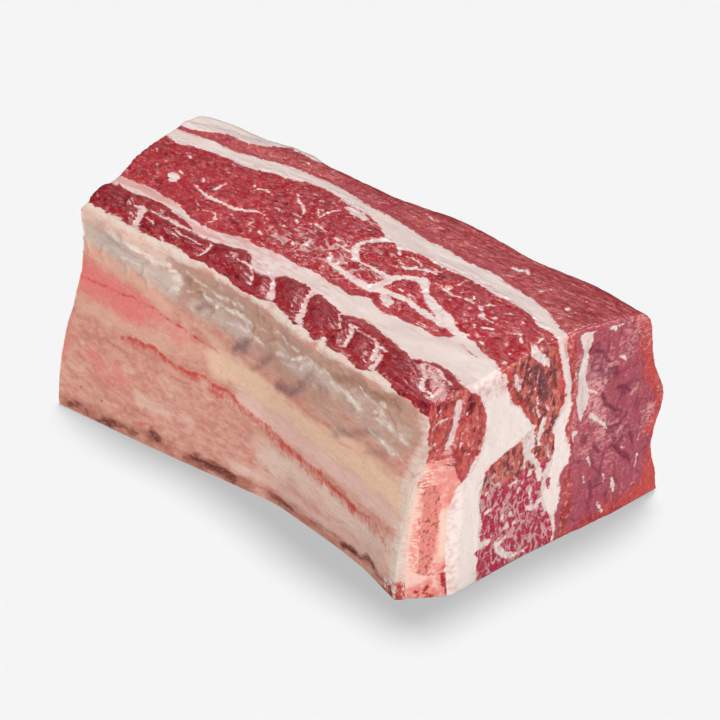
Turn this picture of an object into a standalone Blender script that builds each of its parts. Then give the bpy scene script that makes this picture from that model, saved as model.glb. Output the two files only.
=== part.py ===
"""A raw beef short rib, English cut: one rib bone with the muscles and fat that lie on it.

The block lies as it was cut, on the knife cut along one side of the rib. X runs along the rib,
Y goes from the chest lining out to the back of the animal, and Z is up. Each layer runs the
whole length of the block and is one closed solid: a sliced cube, bent to fit between the two
sheets that bound the layer, the knife cuts above and below it, and the saw cuts at its ends.
All sizes below are in millimetres, and MM turns them into metres.
"""

from dataclasses import dataclass
from typing import Callable

import bmesh
import bpy
import numpy as np
from mathutils import Matrix, Vector

MM = 0.001
HEIGHT = 60.0  # between the two knife cuts, along the width of the rib
NEAR_END = 62.0  # the saw cut across the rib at the +X end
FAR_END = -73.0  # where the other saw cut meets the chest lining
CENTRE = (-12.37, 0.96)  # the middle of the block's footprint, which becomes the origin

GAP = 0.3  # between neighbouring layers
CAP_GAP = 0.5  # behind the fat cap, whose slices don't line up with those of the muscle
HALF = GAP / 2
LINING_THICKNESS = 2.2
EDGE_RADIUS = 1.5  # of the edges round the top cut and the saw cuts
BACK_RADIUS = 4.5  # of the softer edge between the top cut and the back
BASE_RADIUS = 0.6  # of the edges round the base
BONE_RISE = 7.0  # how much higher the bone lies at the far end than at the near one
STRAIGHTEST = 0.45  # the share of a seam's winding that is left at the far end
SETTLING_ROUNDS = 40  # x, y and z of a point depend on each other, so they are found in rounds


def through(*points):
    """A smooth function through (place, value) points, held level past both ends."""
    places, values = np.array(points, float).T
    slopes = np.gradient(values, places)

    def at(place):
        place = np.clip(place, places[0], places[-1])
        i = np.clip(np.searchsorted(places, place) - 1, 0, len(places) - 2)
        span = places[i + 1] - places[i]
        t = (place - places[i]) / span
        rise = values[i + 1] - values[i]
        bend_in = span * slopes[i] - rise
        bend_out = rise - span * slopes[i + 1]
        return values[i] + rise * t + t * (1 - t) * (bend_in * (1 - t) + bend_out * t)

    return at


def mix(a, b, share):
    """The value that lies at this share of the way from a to b."""
    return a + (b - a) * share


def smoothstep(low, high, value):
    """0 up to low, 1 from high on, and a smooth rise between them."""
    t = np.clip((value - low) / (high - low), 0, 1)
    return t * t * (3 - 2 * t)


def inset(surface, step):
    """The surface moved by step along its own axis."""
    return lambda *place: surface(*place) + step


def lift(x, level):
    """How much higher than at the near end a point at this level between the cuts lies at x."""
    away = np.clip((NEAR_END - x) / (NEAR_END - FAR_END), 0, 1)
    return BONE_RISE * away * np.sin(np.pi * np.clip(level / HEIGHT, 0, 1))


class Sheet:
    """A bounding sheet of a layer: y at each (x, z), from three lines that show on the block.

    top and base hold (x, y) points along the knife cuts, and near holds (z, y) points down the
    near saw cut. That line winds, and further back the sheet is straighter.
    """

    def __init__(self, top, base, near):
        self.top = through(*top)
        self.base = through(*base)
        self.near = through(*near)

    def straight(self, x, z):
        return mix(self.base(x), self.top(x), np.clip(z / HEIGHT, 0, 1))

    def __call__(self, x, z):
        level = z - lift(x, z)
        winding = self.near(level) - self.straight(NEAR_END, level)
        share = mix(STRAIGHTEST, 1, smoothstep(FAR_END, NEAR_END, x))
        return self.straight(x, z) + winding * share


CHEST_FACE = Sheet(
    top=((-73, -34), (-45, -33.2), (-28, -30.8), (-7, -31.1), (15, -33.4), (40, -33.6),
         (62, -31.5)),
    base=((-74, -45.7), (-31, -38.4), (-7, -33.8), (2, -32.3), (14, -32.4), (38, -33.8),
          (56, -37), (62, -37)),
    near=((0, -37), (12, -36.4), (30, -35.2), (45, -33.8), (60, -31.5)),
)
RIB_TO_FAT = Sheet(
    top=((-77, -21), (-62, -19), (-45, -22), (-25, -18.6), (-15, -19.8), (0, -18), (15, -19.6),
         (40, -20), (62, -18.5)),
    base=((-80, -31), (-40, -25), (0, -20), (35, -21.5), (62, -26)),
    near=((0, -26), (20, -26), (28, -25), (32, -23), (36, -17.8), (42, -15.6), (50, -14.4),
          (60, -18.5)),
)
FAT_TO_INNER = Sheet(
    top=((-77, -18.3), (-62, -15.6), (-45, -18), (-30, -14.8), (0, -12.6), (15, -10.4),
         (35, -9.5), (45, -6), (62, -8)),
    base=((-80, -26), (-40, -20), (0, -14.5), (35, -13.5), (62, -16)),
    near=((0, -16), (20, -15.8), (31, -13.5), (34.5, -7.5), (38, 0.5), (43, 0), (49, -4.5),
          (60, -8)),
)
INNER_TO_SEAM = Sheet(
    top=((-86, 5.5), (-60, 9.5), (-45, 15), (-30, 18.5), (-15, 17), (0, 12.2), (20, 15),
         (40, 15), (62, 11)),
    base=((-80, 0), (-40, 8), (0, 13), (35, 11.5), (62, 8)),
    near=((0, 8), (6, 9.5), (12, 7.5), (18, 6), (26, 9), (36, 9.6), (43, 13.4), (60, 11)),
)
SEAM_TO_OUTER = Sheet(
    top=((-87, 10), (-65, 13.5), (-45, 19.5), (-32, 22), (-10, 21.3), (24, 21.3), (45, 19.5),
         (62, 13.5)),
    base=((-80, 5), (-40, 12.5), (0, 18), (35, 15.5), (62, 11)),
    near=((0, 11), (12, 12.4), (19, 12.9), (26, 16.2), (31, 14.8), (43, 15.6), (60, 13.5)),
)
BACK_FACE = Sheet(
    top=((-88, 12.8), (-78, 17.4), (-67, 20.8), (-58, 26.4), (-40, 29.8), (-20, 31.8),
         (0, 37.9), (30, 38.4), (46, 41.8), (62, 41.3)),
    base=((-88, 22), (-60, 32), (-25, 38), (5, 43), (35, 42.5), (62, 46.8)),
    near=((0, 46.9), (6, 46.1), (14, 43.8), (20, 44.2), (30, 47.4), (42, 43.4), (52, 41.4),
          (60, 41.3)),
)

# The fat over the back: its thickness along x, and the x of its edge at each z.
CAP_THICKNESS = through(
    (-90, 4), (-87, 7.5), (-80, 7.6), (-70, 6.2), (-60, 3), (-50, 1.9), (-34, 0.9)
)
CAP_EDGE = through((0, -30), (14, -36), (30, -28), (45, -38), (60, -42))

# The height of the top cut across the block.
TOP_HEIGHT = through((-40, 59.2), (-20, 60), (0, 61), (13, 61.8), (25, 60.6), (34, 59), (44, 57))

# The bone's upper and lower edges at the near end: z at each depth behind the chest lining.
BONE_TOP = through((0, 37), (3, 39.4), (6, 40), (9, 38.4), (12, 35), (15, 33))
BONE_FOOT = through((0, 9.5), (3, 7.4), (6, 7), (9, 8.4), (12, 11), (15, 12))
BONE_BACK = (12.0, 34.3)  # the heights between which the bone meets the deep fat

# The near saw cut runs back from its straight line beside the chest lining: how far at each z.
NEAR_SETBACK = through((0, 8.6), (15, 8), (30, 6), (42, 3.6), (50, 1.2), (60, 2))
SETBACK_REACH = 13.0
SETBACK_CURVE = 1.3
NEAR_BULGE = 2.5  # how much further out it runs at the back

# The far saw cut: x at each z up the chest face, and the step in x at each y across the block.
FAR_OUTLINE = through(
    (0, -73.3), (15, -74.2), (25, -73), (35, -70.8), (45, -70), (52, -71), (57, -73), (60, -72.6)
)
FAR_SLANT = through((-46, 0), (-34, 0), (-24, -3.5), (-18, -5), (-8, -9), (8, -13.2), (18, -15))


def near_cut(y, z):
    """The x of the near saw cut at (y, z)."""
    lining = CHEST_FACE.straight(NEAR_END, z)
    inner = np.clip(1 - (y - lining) / SETBACK_REACH, 0, 1)
    bulge = NEAR_BULGE * smoothstep(-5, 35, y)
    return NEAR_END + bulge - NEAR_SETBACK(z) * inner**SETBACK_CURVE


def far_cut(y, z):
    """The x of the far saw cut at (y, z)."""
    return FAR_OUTLINE(z) + FAR_SLANT(y)


def cap_edge(y, z):
    """The x at which the fat cap runs out."""
    return CAP_EDGE(z)


def lining_back(x, z):
    """The sheet behind the chest lining."""
    return CHEST_FACE(x, z) + LINING_THICKNESS


def cap_back(x, z):
    """The outer sheet of the fat cap."""
    return BACK_FACE(x, z) + CAP_THICKNESS(x)


def rounding(distance, radius):
    """How far a rounded edge falls away at this distance from the face beside it."""
    t = np.clip(1 - np.maximum(distance, 0) / radius, 0, 1)
    return radius * (1 - np.sqrt(1 - t * t))


def edge_fall(x, y, z, radius, back_radius):
    """How far the cut at height z falls away towards the faces round it."""
    back = np.where(x < CAP_EDGE(z), cap_back(x, z), BACK_FACE(x, z))
    to_end = np.minimum(near_cut(y, z) - x, x - far_cut(y, z))
    to_lining = y - CHEST_FACE(x, z)
    sides = rounding(np.minimum(to_end, to_lining), radius)
    return np.maximum(sides, rounding(back - y, back_radius))


def base_cut(x, y):
    """The height of the underside, which is flat up to its edges."""
    return edge_fall(x, y, 0, BASE_RADIUS, BASE_RADIUS)


def top_cut(x, y):
    """The height of the top."""
    return TOP_HEIGHT(y) - edge_fall(x, y, HEIGHT, EDGE_RADIUS, BACK_RADIUS)


def bone_edge(outline):
    """One edge of the bone, as a height over (x, y)."""

    def at(x, y):
        level = outline(y - CHEST_FACE(x, outline(0)) - LINING_THICKNESS)
        return level + lift(x, level)

    return at


bone_top = bone_edge(BONE_TOP)
bone_foot = bone_edge(BONE_FOOT)


def shares(count):
    """The shares at which cuts make this many even slices."""
    return [i / count for i in range(1, count)]


# Heights at which every layer is sliced, closest where the seams wind most.
LEVELS = (0.8, 5, 10, 15, 20, 25, 29, 32, 34.5, 37.5, 42, 47, 53, 58.6)
LEAST_SLICE = 0.5
END_SLICE = 0.008
LENGTHWISE = [END_SLICE, *[mix(END_SLICE, 1 - END_SLICE, s) for s in shares(18)], 1 - END_SLICE]


def levels_between(low, high):
    """The shares at which the LEVELS cut the stretch between two heights."""
    within = [level for level in LEVELS if low + LEAST_SLICE < level < high - LEAST_SLICE]
    return [(level - low) / (high - low) for level in within]


@dataclass
class Layer:
    """One solid of the block.

    front and back are its sheets, foot and head its lower and upper faces, and far and near its
    ends. across and up hold the shares at which it is sliced, and crown is how far its upper
    face bulges.
    """

    name: str
    front: Callable
    back: Callable
    across: list
    up: list
    foot: Callable = base_cut
    head: Callable = top_cut
    near: Callable = near_cut
    crown: float = 0.0

    def place(self, u, v, w):
        """The points, in millimetres, at shares u along, v across and w up the layer."""
        full_height = self.foot is base_cut and self.head is top_cut
        bulge = self.crown * 4 * v * (1 - v) * w
        x = mix(FAR_END, NEAR_END, u)
        y = mix(self.front(x, HEIGHT * w), self.back(x, HEIGHT * w), v)
        z = HEIGHT * w
        for _ in range(SETTLING_ROUNDS):
            y = mix(y, mix(self.front(x, z), self.back(x, z), v), 0.5)
            x = mix(x, mix(far_cut(y, z), self.near(y, z), u), 0.5)
            height = mix(self.foot(x, y), self.head(x, y), w) + bulge
            if full_height:
                height += lift(x, HEIGHT * w)
            z = mix(z, height, 0.5)
        return np.stack([x, y, z], axis=1)


FULL = levels_between(0, HEIGHT)
BEHIND_LINING = inset(lining_back, HALF)
BEFORE_FAT = inset(RIB_TO_FAT, -GAP)

LAYERS = (
    Layer("chest_lining", CHEST_FACE, inset(lining_back, -HALF), [0.6], FULL),
    Layer("rib_bone", BEHIND_LINING, BEFORE_FAT, shares(6), levels_between(*BONE_BACK),
          foot=inset(bone_foot, HALF), head=inset(bone_top, -HALF)),
    Layer("lower_trim", BEHIND_LINING, BEFORE_FAT, shares(4), levels_between(0, BONE_BACK[0]),
          head=inset(bone_foot, -HALF)),
    Layer("rib_muscle", BEHIND_LINING, BEFORE_FAT, shares(5), levels_between(BONE_BACK[1], HEIGHT),
          foot=inset(bone_top, HALF), crown=0.7),
    Layer("deep_fat", inset(RIB_TO_FAT, HALF), inset(FAT_TO_INNER, -HALF), [0.5], FULL),
    Layer("inner_muscle", inset(FAT_TO_INNER, HALF), inset(INNER_TO_SEAM, -HALF), shares(5), FULL,
          crown=0.8),
    Layer("seam_fat", inset(INNER_TO_SEAM, HALF), inset(SEAM_TO_OUTER, -HALF), [0.5], FULL),
    Layer("outer_muscle", inset(SEAM_TO_OUTER, HALF), BACK_FACE, [0.25, 0.5, 0.72, 0.88, 0.96],
          FULL, crown=0.5),
    Layer("fat_cap", inset(BACK_FACE, CAP_GAP), cap_back, [0.5], FULL, near=cap_edge),
)


def sliced_cube(along, across, up):
    """A unit cube sliced by planes at these shares of its three sides."""
    shape = bmesh.new()
    bmesh.ops.create_cube(shape, size=1, matrix=Matrix.Translation((0.5, 0.5, 0.5)))
    for axis, cuts in enumerate((along, across, up)):
        normal = Vector([float(axis == i) for i in range(3)])
        for cut in cuts:
            everything = shape.verts[:] + shape.edges[:] + shape.faces[:]
            bmesh.ops.bisect_plane(shape, geom=everything, plane_co=normal * cut, plane_no=normal)
    return shape


def make_layer(layer, material, block):
    """Bends a sliced cube into the layer and puts it in the block's collection."""
    shape = sliced_cube(LENGTHWISE, layer.across, layer.up)
    u, v, w = np.array([vertex.co for vertex in shape.verts]).T
    middle = np.array([*CENTRE, 0])
    for vertex, point in zip(shape.verts, (layer.place(u, v, w) - middle) * MM):
        vertex.co = point
    bmesh.ops.triangulate(shape, faces=shape.faces)
    mesh = bpy.data.meshes.new(layer.name)
    shape.to_mesh(mesh)
    shape.free()
    mesh.shade_smooth()
    mesh.set_sharp_from_angle(angle=0.7)
    mesh.materials.append(material)
    block.objects.link(bpy.data.objects.new(layer.name, mesh))


def finish(name, colour, roughness):
    """A material with one colour and one roughness."""
    material = bpy.data.materials.new(name)
    material.use_nodes = True
    shader = material.node_tree.nodes["Principled BSDF"]
    shader.inputs["Base Color"].default_value = (*colour, 1)
    shader.inputs["Roughness"].default_value = roughness
    shader.inputs["Metallic"].default_value = 0
    return material


def main():
    """Clears the scene and builds the block, layer by layer."""
    for old in list(bpy.data.objects):
        bpy.data.objects.remove(old)
    block = bpy.data.collections.new("beef_short_rib")
    bpy.context.scene.collection.children.link(block)
    fat = finish("fat", (0.80, 0.70, 0.64), 0.45)
    deep_red = finish("dark red muscle", (0.30, 0.03, 0.05), 0.4)
    red = finish("marbled red muscle", (0.45, 0.07, 0.08), 0.4)
    mauve = finish("mauve red muscle", (0.36, 0.07, 0.10), 0.4)
    finishes = {
        "chest_lining": finish("chest lining", (0.66, 0.49, 0.37), 0.35),
        "rib_bone": finish("bone", (0.78, 0.42, 0.36), 0.55),
        "lower_trim": finish("trimmed meat and fat", (0.55, 0.25, 0.20), 0.45),
        "rib_muscle": deep_red,
        "deep_fat": fat,
        "inner_muscle": red,
        "seam_fat": fat,
        "outer_muscle": mauve,
        "fat_cap": fat,
    }
    for layer in LAYERS:
        make_layer(layer, finishes[layer.name], block)


main()
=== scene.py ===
"""A raw beef short rib, English cut: the fine, dressed block on a studio floor.

X runs along the rib, Y goes from the chest lining out to the back of the animal, and Z is up.
Each layer of the block is one closed piece: a box sliced finely where it shows, bent between the
two sheets that bound the layer and the cuts at its ends, carved with the low relief of cut meat,
and marked with the veins, rims and stains that its finish then paints. Sizes are millimetres
until a mesh is made, and places are measured from the same point as in the part's own source.
"""

import logging
import math
from collections.abc import Callable
from dataclasses import dataclass, field
from enum import Enum

import bpy
import numpy as np
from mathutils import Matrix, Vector

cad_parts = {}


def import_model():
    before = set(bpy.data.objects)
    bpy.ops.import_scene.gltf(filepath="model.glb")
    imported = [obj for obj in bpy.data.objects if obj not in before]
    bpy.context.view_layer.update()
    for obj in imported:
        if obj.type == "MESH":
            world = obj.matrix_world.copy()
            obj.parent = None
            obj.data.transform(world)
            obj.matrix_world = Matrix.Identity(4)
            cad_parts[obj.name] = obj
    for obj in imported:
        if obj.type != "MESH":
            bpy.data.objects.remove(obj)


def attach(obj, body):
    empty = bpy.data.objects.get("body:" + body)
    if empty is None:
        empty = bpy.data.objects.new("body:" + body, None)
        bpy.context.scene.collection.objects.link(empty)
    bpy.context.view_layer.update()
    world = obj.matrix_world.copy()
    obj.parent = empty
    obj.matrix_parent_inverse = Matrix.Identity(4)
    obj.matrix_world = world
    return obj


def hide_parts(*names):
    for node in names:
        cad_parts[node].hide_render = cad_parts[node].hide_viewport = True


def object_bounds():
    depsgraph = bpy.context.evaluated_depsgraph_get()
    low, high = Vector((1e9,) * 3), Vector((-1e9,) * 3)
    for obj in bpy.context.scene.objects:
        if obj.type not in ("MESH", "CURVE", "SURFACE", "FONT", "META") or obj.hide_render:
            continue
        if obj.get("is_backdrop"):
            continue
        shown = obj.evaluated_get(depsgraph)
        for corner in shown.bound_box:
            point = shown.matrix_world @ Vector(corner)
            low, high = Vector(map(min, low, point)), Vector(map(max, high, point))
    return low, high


MM = 0.001
FINE = 0.42  # the spacing of the slices on the sides that show
FINER = 0.36  # the same on the two muscles with the most threads of fat
SAMPLES = 40  # how many points a layer's height is measured through
SHARP_ANGLE = 0.95  # where faces meet at more than this, in radians, the edge shows
SETTLING_ROUNDS = 26  # x, y and z of a point depend on each other, so they are found in rounds
FAR_AWAY = 3.0  # the greatest gap to a vein or a line that is kept

AZIMUTH = 48.0  # the camera's turn round the block, in degrees
ELEVATION = 33.0
DISTANCE = 800.0
TARGET = (12.37, -0.96, 30.0)  # what it looks at, from the middle of the block's box

Array = np.ndarray
Socket = bpy.types.NodeSocket
Colour = tuple[int, int, int]
Place = tuple[float, float]
Triple = tuple[float, float, float]
Surface = Callable[[Array, Array], Array]

log = logging.getLogger("short_rib")


def mix(low: Array, high: Array, share: Array) -> Array:
    """The value that lies at this share of the way from low to high."""
    return low + (high - low) * share


def smoothstep(low: float, high: float, value: Array) -> Array:
    """0 up to low, 1 from high on, and a smooth rise between them."""
    t = np.clip((value - low) / (high - low), 0, 1)
    return t * t * (3 - 2 * t)


def fade(reach: float, distance: Array) -> Array:
    """1 at no distance or less, falling smoothly to 0 at reach."""
    return 1 - smoothstep(0, reach, distance)


def direction(azimuth: float, elevation: float) -> Array:
    """The direction from the block towards a point at this turn and height, in degrees."""
    turn, rise = math.radians(azimuth), math.radians(elevation)
    return np.array([math.sin(turn) * math.cos(rise), -math.cos(turn) * math.cos(rise), math.sin(rise)])


class Profile:
    """A smooth curve through (place, value) points, held level past both ends."""

    STEP = 0.1

    def __init__(self, *points: Place) -> None:
        """Draws the curve.

        Args:
            points: The (place, value) points that it goes through, in order of place.
        """
        places, values = np.array(points, float).T
        slopes = np.gradient(values, places)
        self.fine = np.arange(places[0], places[-1], self.STEP)
        i = np.clip(np.searchsorted(places, self.fine) - 1, 0, len(places) - 2)
        span = places[i + 1] - places[i]
        t = (self.fine - places[i]) / span
        rise = values[i + 1] - values[i]
        bend_in = span * slopes[i] - rise
        bend_out = rise - span * slopes[i + 1]
        self.values = values[i] + rise * t + t * (1 - t) * (bend_in * (1 - t) + bend_out * t)

    def __call__(self, place: Array) -> Array:
        """The value at this place."""
        return np.interp(place, self.fine, self.values)


@dataclass(frozen=True)
class Cuts:
    """The knife and saw cuts that part the block from the animal, and its outer edges."""

    height: float = 60.0
    near_end: float = 62.0
    far_end: float = -73.0
    centre: Place = (-12.37, 0.96)
    lining_thickness: float = 2.2
    edge_radius: float = 1.5
    back_radius: float = 4.5
    base_radius: float = 0.6
    bone_rise: float = 7.0
    setback_reach: float = 13.0
    setback_curve: float = 1.3
    near_bulge: float = 2.5
    cap_feather: float = 9.0
    top_height: Profile = Profile(
        (-40, 59.2), (-20, 60), (0, 61), (13, 61.8), (25, 60.6), (34, 59), (44, 57)
    )
    near_setback: Profile = Profile((0, 8.6), (15, 8), (30, 6), (42, 3.6), (50, 1.2), (60, 2))
    far_outline: Profile = Profile(
        (0, -73.3), (15, -74.2), (25, -73), (35, -70.8), (45, -70), (52, -71), (57, -73),
        (60, -72.6),
    )
    far_slant: Profile = Profile(
        (-46, 0), (-34, 0), (-24, -3.5), (-18, -5), (-8, -9), (8, -13.2), (18, -15)
    )
    cap_thickness: Profile = Profile(
        (-90, 4), (-87, 7.5), (-80, 7.6), (-70, 6.2), (-60, 3), (-50, 1.9), (-34, 0.9)
    )
    cap_edge: Profile = Profile((0, -30), (14, -36), (30, -28), (45, -38), (60, -42))
    bone_top: Profile = Profile((0, 37), (3, 39.4), (6, 40), (9, 38.4), (12, 35), (15, 33))
    bone_foot: Profile = Profile((0, 9.5), (3, 7.4), (6, 7), (9, 8.4), (12, 11), (15, 12))

    def lift(self, x: Array, level: Array) -> Array:
        """How much higher than at the near end a point at this level between the cuts lies."""
        away = np.clip((self.near_end - x) / (self.near_end - self.far_end), 0, 1)
        return self.bone_rise * away * np.sin(np.pi * np.clip(level / self.height, 0, 1))

    def near_cut(self, y: Array, z: Array) -> Array:
        """The x of the near saw cut at (y, z).

        Args:
            y: Where across the block.
            z: The height.

        Returns:
            The x at each point.
        """
        lining = CHEST_FACE.straight(self.near_end, z)
        inner = np.clip(1 - (y - lining) / self.setback_reach, 0, 1)
        bulge = self.near_bulge * smoothstep(-5, 35, y)
        return self.near_end + bulge - self.near_setback(z) * inner**self.setback_curve

    def far_cut(self, y: Array, z: Array) -> Array:
        """The x of the far saw cut at (y, z)."""
        return self.far_outline(z) + self.far_slant(y)

    def cap_back(self, x: Array, z: Array) -> Array:
        """The outer sheet of the fat cap, which thins to nothing at the cap's edge."""
        feather = smoothstep(-0.5, self.cap_feather, self.cap_edge(z) - x)
        return BACK_FACE(x, z) + self.cap_thickness(x) * feather

    def lining_back(self, x: Array, z: Array) -> Array:
        """The sheet behind the chest lining."""
        return CHEST_FACE(x, z) + self.lining_thickness

    def edge_fall(self, x: Array, y: Array, z: Array, radius: float, back_radius: float) -> Array:
        """How far a cut falls away towards the faces round it.

        Args:
            x: Where along the block.
            y: Where across the block.
            z: The height of the cut.
            radius: The radius of the edges at the ends and at the lining.
            back_radius: The radius of the edge at the back.

        Returns:
            The fall at each point.
        """
        back = np.where(x < self.cap_edge(z), self.cap_back(x, z), BACK_FACE(x, z))
        to_end = np.minimum(self.near_cut(y, z) - x, x - self.far_cut(y, z))
        to_lining = y - CHEST_FACE(x, z)
        sides = rounding(np.minimum(to_end, to_lining), radius)
        return np.maximum(sides, rounding(back - y, back_radius))

    def base_cut(self, x: Array, y: Array) -> Array:
        """The height of the underside, which is flat up to its edges."""
        return self.edge_fall(x, y, np.zeros_like(x), self.base_radius, self.base_radius)

    def top_cut(self, x: Array, y: Array) -> Array:
        """The height of the top."""
        level = np.full_like(x, self.height)
        return self.top_height(y) - self.edge_fall(x, y, level, self.edge_radius, self.back_radius)

    def cap_end(self, y: Array, z: Array) -> Array:
        """The x of the fat cap's feather edge at (y, z), which is the same at each y."""
        return self.cap_edge(z)

    def bone_head(self, x: Array, y: Array) -> Array:
        """The height of the bone's upper edge."""
        return self.bone_edge(self.bone_top, x, y)

    def bone_base(self, x: Array, y: Array) -> Array:
        """The height of the bone's lower edge."""
        return self.bone_edge(self.bone_foot, x, y)

    def bone_edge(self, outline: Profile, x: Array, y: Array) -> Array:
        """The height of one edge of the bone.

        Args:
            outline: The edge's height at each depth behind the lining, at the near end.
            x: Where along the block.
            y: Where across the block.

        Returns:
            The height at each point.
        """
        level = outline(y - CHEST_FACE(x, outline(0)) - self.lining_thickness)
        return level + self.lift(x, level)


def rounding(distance: Array, radius: float) -> Array:
    """How far a rounded edge falls away at this distance from the face beside it."""
    t = np.clip(1 - np.maximum(distance, 0) / radius, 0, 1)
    return radius * (1 - np.sqrt(1 - t * t))


class Sheet:
    """A bounding sheet of a layer: y at each (x, z), from three lines that show on the block."""

    STRAIGHTEST = 0.45  # how much of its winding is left at the far end

    def __init__(self, top: tuple, base: tuple, near: tuple) -> None:
        """Stretches the sheet between its lines.

        Args:
            top: The (x, y) points along the upper knife cut.
            base: The (x, y) points along the lower knife cut.
            near: The (z, y) points down the near saw cut, where the sheet winds most.
        """
        self.top = Profile(*top)
        self.base = Profile(*base)
        self.near = Profile(*near)

    def straight(self, x: Array, z: Array) -> Array:
        """The y of the sheet without its winding."""
        return mix(self.base(x), self.top(x), np.clip(z / CUTS.height, 0, 1))

    def __call__(self, x: Array, z: Array) -> Array:
        """The y of the sheet.

        Args:
            x: Where along the block.
            z: The height.

        Returns:
            The y at each point.
        """
        level = z - CUTS.lift(x, z)
        winding = self.near(level) - self.straight(CUTS.near_end, level)
        share = mix(self.STRAIGHTEST, 1, smoothstep(CUTS.far_end, CUTS.near_end, x))
        return self.straight(x, z) + winding * share


CUTS = Cuts()
CHEST_FACE = Sheet(
    top=((-73, -34), (-45, -33.2), (-28, -30.8), (-7, -31.1), (15, -33.4), (40, -33.6),
         (62, -31.5)),
    base=((-74, -45.7), (-31, -38.4), (-7, -33.8), (2, -32.3), (14, -32.4), (38, -33.8),
          (56, -37), (62, -37)),
    near=((0, -37), (12, -36.4), (30, -35.2), (45, -33.8), (60, -31.5)),
)
RIB_TO_FAT = Sheet(
    top=((-77, -21), (-62, -19), (-45, -22), (-25, -18.6), (-15, -19.8), (0, -18), (15, -19.6),
         (40, -20), (62, -18.5)),
    base=((-80, -31), (-40, -25), (0, -20), (35, -21.5), (62, -26)),
    near=((0, -26), (20, -26), (28, -25), (32, -23), (36, -17.8), (42, -15.6), (50, -14.4),
          (60, -18.5)),
)
FAT_TO_INNER = Sheet(
    top=((-77, -18.3), (-62, -15.6), (-45, -18), (-30, -14.8), (0, -12.6), (15, -10.4),
         (35, -9.5), (45, -6), (62, -8)),
    base=((-80, -26), (-40, -20), (0, -14.5), (35, -13.5), (62, -16)),
    near=((0, -16), (20, -15.8), (31, -13.5), (34.5, -7.5), (38, 0.5), (43, 0), (49, -4.5),
          (60, -8)),
)
INNER_TO_SEAM = Sheet(
    top=((-86, 5.5), (-60, 9.5), (-45, 15), (-30, 18.5), (-15, 17), (0, 12.2), (20, 15),
         (40, 15), (62, 11)),
    base=((-80, 0), (-40, 8), (0, 13), (35, 11.5), (62, 8)),
    near=((0, 8), (6, 9.5), (12, 7.5), (18, 6), (26, 9), (36, 9.6), (43, 13.4), (60, 11)),
)
SEAM_TO_OUTER = Sheet(
    top=((-87, 10), (-65, 13.5), (-45, 19.5), (-32, 22), (-10, 21.3), (24, 21.3), (45, 19.5),
         (62, 13.5)),
    base=((-80, 5), (-40, 12.5), (0, 18), (35, 15.5), (62, 11)),
    near=((0, 11), (12, 12.4), (19, 12.9), (26, 16.2), (31, 14.8), (43, 15.6), (60, 13.5)),
)
BACK_FACE = Sheet(
    top=((-88, 12.8), (-78, 17.4), (-67, 20.8), (-58, 26.4), (-40, 29.8), (-20, 31.8),
         (0, 37.9), (30, 38.4), (46, 41.8), (62, 41.3)),
    base=((-88, 22), (-60, 32), (-25, 38), (5, 43), (35, 42.5), (62, 46.8)),
    near=((0, 46.9), (6, 46.1), (14, 43.8), (20, 44.2), (30, 47.4), (42, 43.4), (52, 41.4),
          (60, 41.3)),
)


EYE = np.array(TARGET) + [*CUTS.centre, 0] + DISTANCE * direction(AZIMUTH, ELEVATION)


def as_seen(points: Array, axis: int, level: float) -> Array:
    """Where points seem to lie on a flat cut when one looks along the camera's line.

    The veins and lines were drawn on flat cuts, and the cuts of the block bulge a little.

    Args:
        points: The points, (n, 3).
        axis: The axis across the flat cut.
        level: The flat cut's place on that axis.

    Returns:
        The places on the flat cut, (n, 2).
    """
    share = (level - EYE[axis]) / (points[:, axis] - EYE[axis])
    return np.delete(EYE + (points - EYE) * share[:, None], axis, axis=1)


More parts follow.
